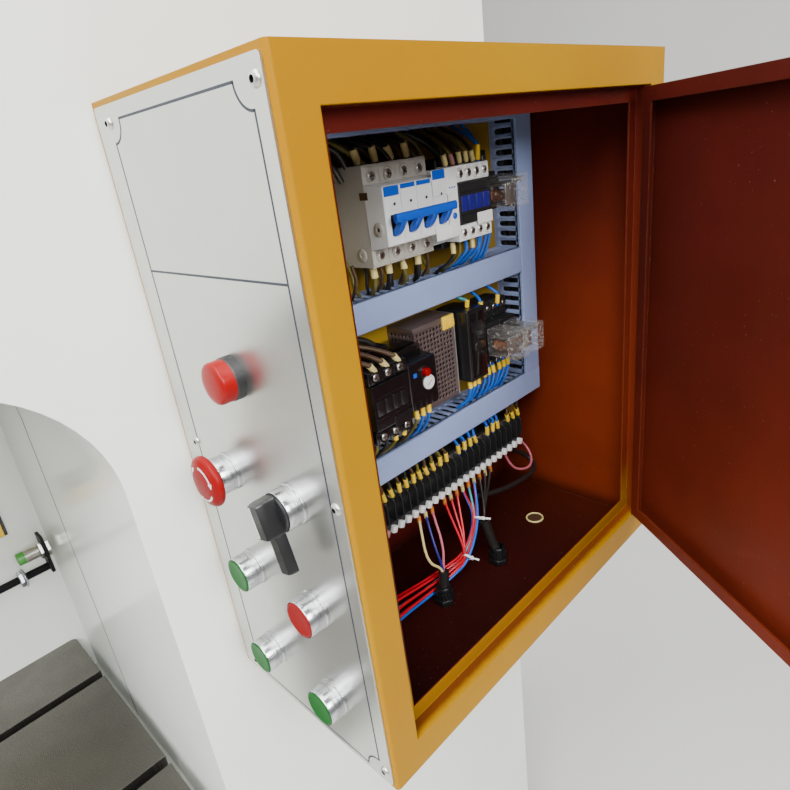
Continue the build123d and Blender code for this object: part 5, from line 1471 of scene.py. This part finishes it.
def jacket(path, values=gland):
    # the sheathed cable: up through its gland, and cut square where its cores leave it
    keep("wireBlack", tube(strand(path, 8), values.cable, 24))


first, second = gland.places
jacket([(*first, -30), (*first, 5), (first[0], first[1] + 1, 22), (first[0] - 1, first[1] + 4, 37)])
jacket([(*second, -30), (*second, 5), (second[0] - 2, second[1], 16), (second[0] - 7, second[1] - 3, 33),
    (tieA[0] + 4, tieA[1] + 5, 54)])
for index, (cover, place, bow) in enumerate([("ivory", 5, (-106, 161, 56)), ("navy", 6, (-108, 178, 58)),
        ("wirePink", 7, (-109, 190, 58))]):
    core([bow, (first[0] - 1, first[1] + 4, 40), (first[0], first[1] + 2, 30)], cover, index, 1, place)
for index, place in enumerate((15, 16, 17)):
    core([(tieA[0] + 2, tieA[1] + 10, 66), (tieA[0] + 4, tieA[1] + 5, 54), (tieA[0] + 8, tieA[1] + 6, 46)],
        "wireBlack", index, 1, place)
keep("wireBlack", tube(strand([(-126, 262, 72), (-118, 292, 64), (-114, 338, 58), (-117, 374, 55),
    (-132, 386, 62), (-142, 366, 80), (-144, 330, 100)], 10), 3, 16))
keep("wirePink", tube(strand([(*terminal(20)[:2], loom.foot), (stripFace + 3, terminal(20)[1] + 2, 84),
    (stripFace + 6, 340, 70), (-116, 358, 65), (-121, 374, 68), (-131, 380, 78), (-140, 374, 92),
    (-144, 362, 102)], 10), 1.4, 10))
wireParts = [(forms, name) for name, forms in bundle.items()]
piece("cabinet_wires", "frame", placed(wireParts, cabCorner), ["wires"])


def glandForms(values):
    # body with its flange, a lock nut inside, and a dome nut with grip ribs around the cable
    r, nut = values.radius, values.nut
    body = lathe([(values.cable + 0.2, -17), (r - 1, -17), (r, -16), (r, 13), (r - 0.6, 14), (r - 0.6, 16),
        (8.6, 20), (7.4, 22), (values.cable + 0.2, 22)], 48)
    hexes = together([lathe([(r - 0.5, low), (nut * 0.96, low), (nut, low + 0.6), (nut, high - 0.6),
        (nut * 0.96, high), (r - 0.5, high)], 6, ring=True)
        for low, high in ((-14, -7.5), (-6.5, 0), (1.5, 8))])
    angle = np.arange(18) * 2 * np.pi / 18
    rib = block((-0.5, -0.7, 9.5), (0.5, 0.7, 16.5), 0.3)
    ribs = together([rib.moved((r - 0.1, 0, 0)).turned((0, 0, 1), np.degrees(a)) for a in angle])
    return body, hexes, ribs


glands = together(glandForms(gland)).repeated([cab(x, y, 0) for x, y in gland.places])
piece("cable_entries", "frame", [(glands, "satinBlack")], ["cable_glands"])

# A blind grommet fills the spare hole: a pale lip round a dark skin, whose dark brown is partly painted shade
# for the shadow under the hole
grommet = Sizes(place=(-106, 351), neck=8.9, lip=10.6, inner=8.8, skin=1.2, top=3)
lip, inner, top = grommet.lip, grommet.inner, grommet.top
lipForm = lathe([(grommet.neck, 0.1), (grommet.neck, 1.6), (lip, 1.6), (lip, 2.4), (lip - 0.6, top),
    (inner + 0.3, top), (inner - 0.2, 2.4), (inner - 0.2, 0.1)], 48, ring=True)
skinTop = 0.9 + grommet.skin
shadeSkinForm = lathe([(0, 0.9), (inner, 0.9), (inner, skinTop), (0, skinTop + 0.5)], 48)
piece("hole_grommet", "frame", placed([(lipForm, "ivory"), (shadeSkinForm, "brownPlastic")],
    cab(*grommet.place, 0)))
print("wires made")


# Throat: the sensor on its bracket, its threaded rod, and the light bar on the far wall
armLow = nodeBox("sensor_arm")[0]
sensorLow, sensorHigh = nodeBox("proximity_sensor")
linerLow, linerHigh = nodeBox("throat_liner")
sensor = Sizes(radius=9, tip=9, pitch=1, nut=13, nutThick=5, rod=5.5, below=28, clamp=11, plate=4,
    bracket=12.5, foot=7, head=22)
sensorX, sensorZ = ((sensorLow + sensorHigh) / 2)[[0, 2]]
rodZ = sensorZ - sensor.below


def threadedRod(radius, length, pitch=1.25, steps=24):
    # r = radius - depth x |2 frac(z / pitch - angle / turn) - 1|, one helix worked out as a grid
    z = np.linspace(0, length, int(length / pitch * 6))
    angle = np.arange(steps) * 2 * np.pi / steps
    phase = z[:, None] / pitch - angle / (2 * np.pi)
    saw = np.abs((phase % 1) - 0.5) * 2
    blunt = 1 - np.clip(np.minimum(z, length - z), 0, 1)[:, None]
    r = radius - 0.5 * pitch * saw - 0.6 * blunt
    points = np.stack([r * np.cos(angle), r * np.sin(angle), z[:, None] * np.ones(steps)], -1)
    return Form(points, capped(len(z), steps))


def hexNut(bore, across, thickness):
    # six flats whose corners are turned off: r = across / 2 at the faces, across / sqrt(3) between them
    corner = across / np.sqrt(3)
    return lathe([(bore, 0), (across / 2 * 0.96, 0), (corner, thickness * 0.16), (corner, thickness * 0.84),
        (across / 2 * 0.96, thickness), (bore, thickness)], 6, ring=True)


backY = (0, 1, 0)
tip = lathe([(0, 0), (7.6, 0), (8.2, 0.5), (8.4, 1.4), (8.4, sensor.tip)], 64)
barrel = threadedRod(sensor.radius, sensorHigh[1] - sensorLow[1] - sensor.tip, sensor.pitch, 40)
bracketY = sensorHigh[1] - 5
nearNut = hexNut(sensor.radius - 0.3, 2 * sensor.nut * 0.866, sensor.nutThick)
sensorParts = [(tip.along((sensorX, sensorLow[1], sensorZ), backY), "sensorGreen"),
    (barrel.along((sensorX, sensorLow[1] + sensor.tip, sensorZ), backY), "nickel"),
    (nearNut.along((sensorX, bracketY - sensor.plate - sensor.nutThick, sensorZ), backY), "nickel"),
    (nearNut.along((sensorX, bracketY, sensorZ), backY), "nickel")]
piece("sensor_head", "frame", sensorParts, ["proximity_sensor"])

clampY = armLow[1] + 20


def bracketPlate(values):
    # a rounded plate with a hole for the sensor: rows from the outline, over the rim, to the hole
    half, low, high = values.bracket, rodZ - values.foot - sensorZ, values.head
    outline = eased(np.array([(half, low), (half, high), (-half, high), (-half, low)]), 3.5, 6, closed=True)
    hole = unit(outline) * (values.radius + 0.1)
    thick = values.plate
    rowsList = [(hole, 0), (inset(outline, 0.4), 0), (outline, 0.4), (outline, thick - 0.4),
        (inset(outline, 0.4), thick), (hole, thick), (hole, 0)]
    return stacked(rowsList, False)


plateY = bracketY - sensor.plate
plateForm = sideOn(bracketPlate(sensor)).moved((sensorX, plateY, sensorZ))
rodForm = threadedRod(sensor.rod, plateY - clampY + 20, 1.25).along((sensorX, clampY - 20, rodZ), backY)
clampForm = block((linerLow[0] + 3, clampY, rodZ - sensor.clamp),
    (sensorX + 14, clampY + 26, rodZ + sensor.clamp), 2, 4)
nutForm = hexNut(sensor.rod, 19.5, 6).along((sensorX, sensorLow[1] - 7, rodZ), backY)
flangeForm = lathe([(sensor.rod, 0), (13, 0), (13.6, 0.5), (13.6, 1.2), (10.2, 3), (sensor.rod, 3)], 40)
flangeForm = flangeForm.along((sensorX, sensorLow[1] - 1, rodZ), backY)
armParts = [(form, "blackSteel") for form in (plateForm, rodForm, clampForm)]
armParts += [(nutForm, "zinc"), (flangeForm, "zinc")]
clampScrew = Sizes(radius=5, head=5, socket=2.5)


def capScrew(radius, height, socket):
    # a cylinder head with a six-sided socket
    head = lathe([(radius, 0), (radius, height - 0.5), (radius - 0.5, height), (socket * 1.15, height)], 36)
    hollow = lathe([(socket * 1.15, height), (socket * 1.15, height - 2.6), (0, height - 2.6)], 6)
    return head + hollow


screwForm = capScrew(clampScrew.radius, clampScrew.head, clampScrew.socket)
for y in (clampY + 7, clampY + 19):
    armParts.append((screwForm.along((sensorX + 14, y, rodZ + 5), (1, 0, 0)), "blackSteel"))

lightBar = Sizes(width=22, low=33, high=76, split=24, cap=4, short=4, pitch=20)


def lightBarParts(y0, y1, values):
    # a housing that is yellow below and black above, with a row of lenses in the black half and thin end caps
    x0, x1 = armLow[0], armLow[0] + values.width
    z0, z1 = sensorZ + values.low, sensorZ + values.high
    split = z0 + values.split
    lower = eased([(x0, z0), (x1, z0), (x1, split), (x0, split)], [0.5, 4, 0.4, 0.4], 5, closed=True)
    upper = eased([(x0, split), (x1 - 1.5, split), (x1 - 1.5, z1), (x0, z1)], [0.4, 0.4, 4, 0.5], 5,
        closed=True)
    whole = eased([(x0, z0), (x1 - 0.6, z0), (x1 - 0.6, z1), (x0, z1)], [0.5, 4, 4, 0.5], 5, closed=True)
    cap = values.cap
    ends = together([sideOn(prism(whole, a, b, 0.6)) for a, b in ((y0, y0 + cap), (y1 - cap, y1))])
    count = int((y1 - y0 - 2 * values.pitch) / values.pitch)
    lens = lathe([(4.2, 0), (4.2, 0.4), (3.4, 0.4), (3.4, 0.1), (0, 0.1)], 24)
    lenses = [facing(lens, x1 - 1.6, y0 + 24 + values.pitch * k, (split + z1) / 2) for k in range(count)]
    return [(sideOn(prism(lower, y0 + cap, y1 - cap, 0.3)), "signalYellow"),
        (sideOn(prism(upper, y0 + cap, y1 - cap, 0.3)) + ends, "satinBlack"), (lenses, "smokedSteel")]


armParts += lightBarParts(armLow[1], sensorLow[1] + 8 - lightBar.short, lightBar)
piece("sensor_carrier", "frame", armParts, ["sensor_arm"])

# Liner: a dark sealed seam that follows the throat's rear edge, its dark grey partly painted shade along the
# sealant, and one screw beside its top
seam = Sizes(x=-54, width=1.6, lift=0.35, radius=120, screw=3.6, spot=15, beside=9)


def seamPath(values):
    # straight up the rear edge, then a quarter circle to the ceiling
    back, ceiling = linerHigh[1] - 3, linerHigh[2] - 3
    angle = np.linspace(0, np.pi / 2, 25)
    arc = np.stack([np.full(25, values.x), back - values.radius * (1 - np.cos(angle)),
        ceiling - values.radius * (1 - np.sin(angle))], -1)
    return np.vstack([[(values.x, back, linerLow[2] + 1)], arc])


way = seamPath(seam)
outward = unit(np.gradient(way, axis=0))
outward = np.stack([outward[:, 0], -outward[:, 2], outward[:, 1]], -1)
half = np.array([seam.width / 2, 0, 0])
lift = outward * seam.lift
# the seam strip is dark grey: sealant with painted shade along it
seamForm = Form(np.stack([way - half, way - half * 0.5 + lift, way + half * 0.5 + lift, way + half], 1),
    [gridFaces(len(way), 4, False)])
screwForm = lathe([(seam.screw, 0), (seam.screw, 0.9), (seam.screw - 0.8, 1.5), (0, 1.5)], 28)
screwForm = screwForm.along(way[seam.spot] + (seam.beside, 0, 0), outward[seam.spot])
piece("liner_seam", "frame", [(seamForm, "castGrey"), (screwForm, "nickel")])
print("throat made")


# Hydraulics: the gauge's dial, the valve's coils and plugs, bolts, sight glass and filler cap
lidLow, lidHigh = nodeBox("tank_lid")
lidZ = lidHigh[2]
blockLow, blockHigh = nodeBox("valve_manifold")
gaugeLow, gaugeHigh = nodeBox("pressure_gauge")
coilLow, coilHigh = nodeBox("solenoid_valve")
sightLow, sightHigh = nodeBox("level_gauge")
fillLow, fillHigh = nodeBox("filler_cap")
drive = Sizes(x=85, y=350, foot=78, flange=81, rise=84, across=13, head=6, margin=18)
motorLid = Sizes(back=124, front=126.4, middle=234, half=38, screw=32)
gauge = Sizes(radius=32, dial=33.9, marks=11, sweep=240)
valve = Sizes(half=36, width=24, height=48, near=42, far=84, tube=12)
sight = Sizes(deep=11.5, half=13.9, window=5.6, low=28, high=152, oil=0.62)


def boltHead(across, height):
    # a washer under a six-sided head whose corners are turned off at the top
    washer = lathe([(across * 0.8, 0), (across * 0.8, 1.1), (across * 0.76, 1.4), (0, 1.4)], 32)
    corner = across / np.sqrt(3)
    return washer + lathe([(corner, 1.2), (corner, height * 0.85), (across * 0.47, height + 1.2),
        (0, height + 1.2)], 6)


def roundTable(count, radius, start):
    # places on a circle
    angle = np.radians(start + 360 / count * np.arange(count))
    return np.stack([radius * np.cos(angle), radius * np.sin(angle), np.zeros(count)], -1)


rim = gauge.radius
gaugeAt = np.array([gaugeLow[0], *((gaugeLow + gaugeHigh) / 2)[1:]])
caseForm = lathe([(0, 0), (7, 0), (7, 13.6), (rim - 5, 13.6), (rim - 1.4, 15), (rim, 18), (rim, 39.4),
    (rim - 0.6, 41.6), (rim - 1.8, 42.8), (rim - 2.8, 42.6), (rim - 3.2, 41.4), (rim - 3.2, 33.2),
    (1.8, 33.2), (1.8, 30), (0, 30)])
dialForm = lathe([(1.8, 33.2), (1.8, gauge.dial), (rim - 3.3, gauge.dial), (rim - 3.3, 33.2)])
markForms = []
for k in range(gauge.marks):
    turn = gauge.sweep / 2 - gauge.sweep / (gauge.marks - 1) * k
    for extra, low, wide in ((0, 21.5, 0.55), (6, 24, 0.3), (12, 24, 0.3), (18, 24, 0.3)):
        if extra == 0 or k < gauge.marks - 1:
            bar = block((gauge.dial - 0.1, -wide, low), (gauge.dial + 0.12, wide, 26.5), 0.05, 1)
            markForms.append(bar.turned((1, 0, 0), turn - extra))
nutForm = facing(hexNut(6.8, 19, 9), *(gaugeAt + (3, 0, 0)))
piece("gauge_case", "frame", [(facing(caseForm, *gaugeAt), "chrome"), (nutForm, "nickel"),
    (facing(dialForm, *gaugeAt), "whitePlastic"), (together(markForms).moved(gaugeAt), "ink")],
    ["pressure_gauge"])

middle = (*((coilLow + coilHigh) / 2)[:2], coilLow[2])
half, width, height = valve.half, valve.width, valve.height
coils, plugs, shells, heads = [], [], [], []
for side in (-1, 1):
    near, far = side * valve.near, side * valve.far
    coils.append(block((-22, near, 4), (22, far, height), 6, 4))
    for k in range(5):
        at = near + side * (5 + 8 * k)
        coils.append(block((-22, at, 11), (22, at + side * 3, height - 7), 1))
    plugs.append(block((-14, near + side * 10, height), (14, far - side * 10, 73), 3, 3))
    plugs.append(block((-12.6, near + side * 11.4, 70), (12.6, far - side * 11.4, 75.4), 1.5, 2))
    stem = lathe([(valve.tube, 0), (valve.tube, 47.5), (11, 48.5), (11.8, 49.5), (11.8, 58.5), (10.6, 60),
        (0, 60)], 40)
    shells.append(stem.along((0, side * half, 26), (0, side, 0)))
    heads.append(lathe([(3.4, 0), (3.4, 0.4), (3, 0.6), (0, 0.6)], 28).moved((0, (near + far) / 2, 75.3)))
body = block((-width, -half, 0), (width, half, height), 2.5, 3)
screws = [capScrew(4.4, 4.6, 2.2).moved((x, y, height)) for x in (-15, 15) for y in (-26, 26)]
piece("valve_group", "frame", placed([(body, "castGrey"), (coils, "satinBlack"),
    (plugs, "blackPlastic"), (shells, "zinc"), (heads, "nickel"), (screws, "blackSteel")], middle),
    ["solenoid_valve"])

bolt = boltHead(drive.across, drive.head)
axisAt = np.array([drive.x, drive.y, lidZ])
places = [axisAt + spot + (0, 0, 11.5) for spot in roundTable(4, drive.foot, 45)]
places += [axisAt + spot + (0, 0, drive.rise + 11) for spot in roundTable(4, drive.flange, 45)]
left, right = lidLow[0] + drive.margin, lidHigh[0] - drive.margin
places += [(x, lidHigh[1] - drive.margin, lidZ) for x in (left, (lidLow[0] + lidHigh[0]) / 2 - 30, right)]
places += [(left, lidHigh[1] - 190, lidZ), (right, lidHigh[1] - 215, lidZ)]
boltForms = together([bolt.moved(place) for place in places])
plugForm = capScrew(8.5, 4, 4.2)
plugForms = [plugForm.along((blockLow[0], y, lidZ + z), (-1, 0, 0))
    for y, z in ((132, 28), (188, 28), (160, 66))]
plugForms.append(facing(plugForm, blockHigh[0], 136, lidZ + 20))
union = hexNut(8.1, 27, 12) + lathe([(8.1, 12), (11, 12), (11, 13.5), (9.4, 19), (8.1, 19)], 40, ring=True)
unionForms = together([union.along((0, blockLow[1], lidZ + z), (0, -1, 0)) for z in (30, 68)])
half, middleZ = motorLid.half, motorLid.middle
box = block((drive.x - half, drive.y - motorLid.back, lidZ + (middleZ - half)),
    (drive.x + half, drive.y - motorLid.front, lidZ + (middleZ + half)), 1.1, 3)
screwForm = lathe([(3.2, 0), (3.2, 0.8), (2.6, 1.6), (0, 1.8)], 28)
boxScrews = [screwForm.along((drive.x + x, drive.y - 126.3, lidZ + middleZ + z), (0, -1, 0))
    for x in (-motorLid.screw, motorLid.screw) for z in (-motorLid.screw, motorLid.screw)]
piece("drive_fittings", "frame", [(boltForms, "zinc"), (plugForms, "blackSteel"),
    (unionForms, "zinc"), (box, "motorBlue"), (boxScrews, "nickel")])

x, y = (sightLow[0] + sightHigh[0]) / 2, sightLow[1]
deep, half, wide = sight.deep, sight.half, sight.window
z0, z1 = sightLow[2] + sight.low, sightLow[2] + sight.high
oilZ = z0 + sight.oil * (z1 - z0)
frameBars = [block((x - half, y, sightLow[2]), (x + half, y + deep - 4, sightHigh[2]), 3, 3)]
frameBars += [block((x - half, y, low), (x + half, y + deep, high), 3, 4)
    for low, high in ((sightLow[2], z0), (z1, sightHigh[2]))]
frameBars += [block((x + side * wide, y, z0 - 6), (x + side * half, y + deep, z1 + 6), 2, 3)
    for side in (-1, 1)]
sightParts = [(frameBars, "satinBlack")]
for low, high, name in ((z0, oilZ, "oil"), (oilZ, z1, "whitePlastic")):
    sightParts.append((block((x - wide, y + deep - 4, low), (x + wide, y + deep - 0.8, high), 0.4), name))
sightParts += [(block((x - wide, y + deep - 1, z), (x + wide, y + deep - 0.6, z + 1.2), 0.15, 1), "red")
    for z in (z0 + 22, z1 - 20)]
sightParts += [(boltHead(11, 2.6).along((x, y + deep - 0.2, z), (0, 1, 0)), "zinc")
    for z in (sightLow[2] + 14, sightHigh[2] - 14)]
piece("sight_glass", "frame", sightParts, ["level_gauge"])

capProfile = eased([(0, -40), (20, -40), (20, 0.4), (33.9, 0.4), (33.9, 8), (29.4, 10), (29.4, 34),
    (25.5, 40), (0, 40)], [0, 1, 0.3, 1, 2, 1, 2, 3, 0], 4)
rib = block((-0.6, -1.1, 12), (1.4, 1.1, 33), 0.6)
ribs = together([rib.moved((29.2, 0, 0)).turned((0, 0, 1), a) for a in range(0, 360, 15)])
capAt = (*((fillLow + fillHigh) / 2)[:2], lidZ)
piece("filler_top", "filler", [((lathe(capProfile) + ribs).moved(capAt), "satinBlack")],
    ["filler_cap"])
print("hydraulics made")


# Studio: pale floor and back, soft lights
studio = Sizes(reach=9000, bend=900, behind=3200, wall=5200, air=0.38)


def sweptBack(values):
    # a floor that bends up into a wall: one profile of (y, z) carried along x
    turn = np.linspace(-np.pi / 2, 0, 24)
    bendY = values.behind + values.bend * np.cos(turn)
    bendZ = values.bend + values.bend * np.sin(turn)
    y = np.concatenate([[-values.reach], bendY, [bendY[-1]]])
    z = np.concatenate([[0], bendZ, [values.wall]])
    x = np.array([-values.reach, values.reach])
    points = np.stack([np.broadcast_to(x, (len(y), 2)), np.stack([y, y], 1), np.stack([z, z], 1)], -1)
    return Form(points, [gridFaces(len(y), 2, False)])


floorForm = sweptBack(studio)
floorMesh = bpy.data.meshes.new("studio_floor")
floorMesh.from_pydata(floorForm.points * mm, [], floorForm.faces[0].tolist())
floorMesh.shade_smooth()
pale = Finish("paleFloor")
floorTint = pale.mix(screen(226, 225, 222), screen(218, 217, 213), pale.cloud(700, 2))
floorMesh.materials.append(pale.shade(baseColor=floorTint, roughness=0.75 + 0.1 * pale.cloud(300, 2)))
floorPiece = bpy.data.objects.new("studio_floor", floorMesh)
bpy.context.scene.collection.objects.link(floorPiece)

world = bpy.data.worlds.new("room")
world.use_nodes = True
world.node_tree.nodes["Background"].inputs["Color"].default_value = (0.98, 0.98, 0.97, 1)
world.node_tree.nodes["Background"].inputs["Strength"].default_value = studio.air
bpy.context.scene.world = world

# place and target in cabinet millimetres, edge in millimetres, power in watts
lights = {
    "window": Sizes(place=(900, -1400, 1900), target=(-100, 100, 250), edge=1300, power=95),
    "doorway": Sizes(place=(1700, -300, 1100), target=(-100, 150, 200), edge=800, power=44),
    "overhead": Sizes(place=(-300, -300, 2300), target=(-250, 0, 0), edge=2000, power=105),
    "leftSide": Sizes(place=(-1500, -2100, 900), target=(-450, 0, 0), edge=1600, power=84),
}
for lightName, values in lights.items():
    lamp = bpy.data.lights.new(lightName, "AREA")
    lamp.shape = "SQUARE"
    lamp.size = values.edge * mm
    lamp.energy = values.power
    holder = bpy.data.objects.new(lightName, lamp)
    holder.rotation_mode = "QUATERNION"
    holder.location = cab(*values.place) * mm
    holder.rotation_quaternion = aimed(holder.location, cab(*values.target) * mm)
    bpy.context.scene.collection.objects.link(holder)
print("studio lit")
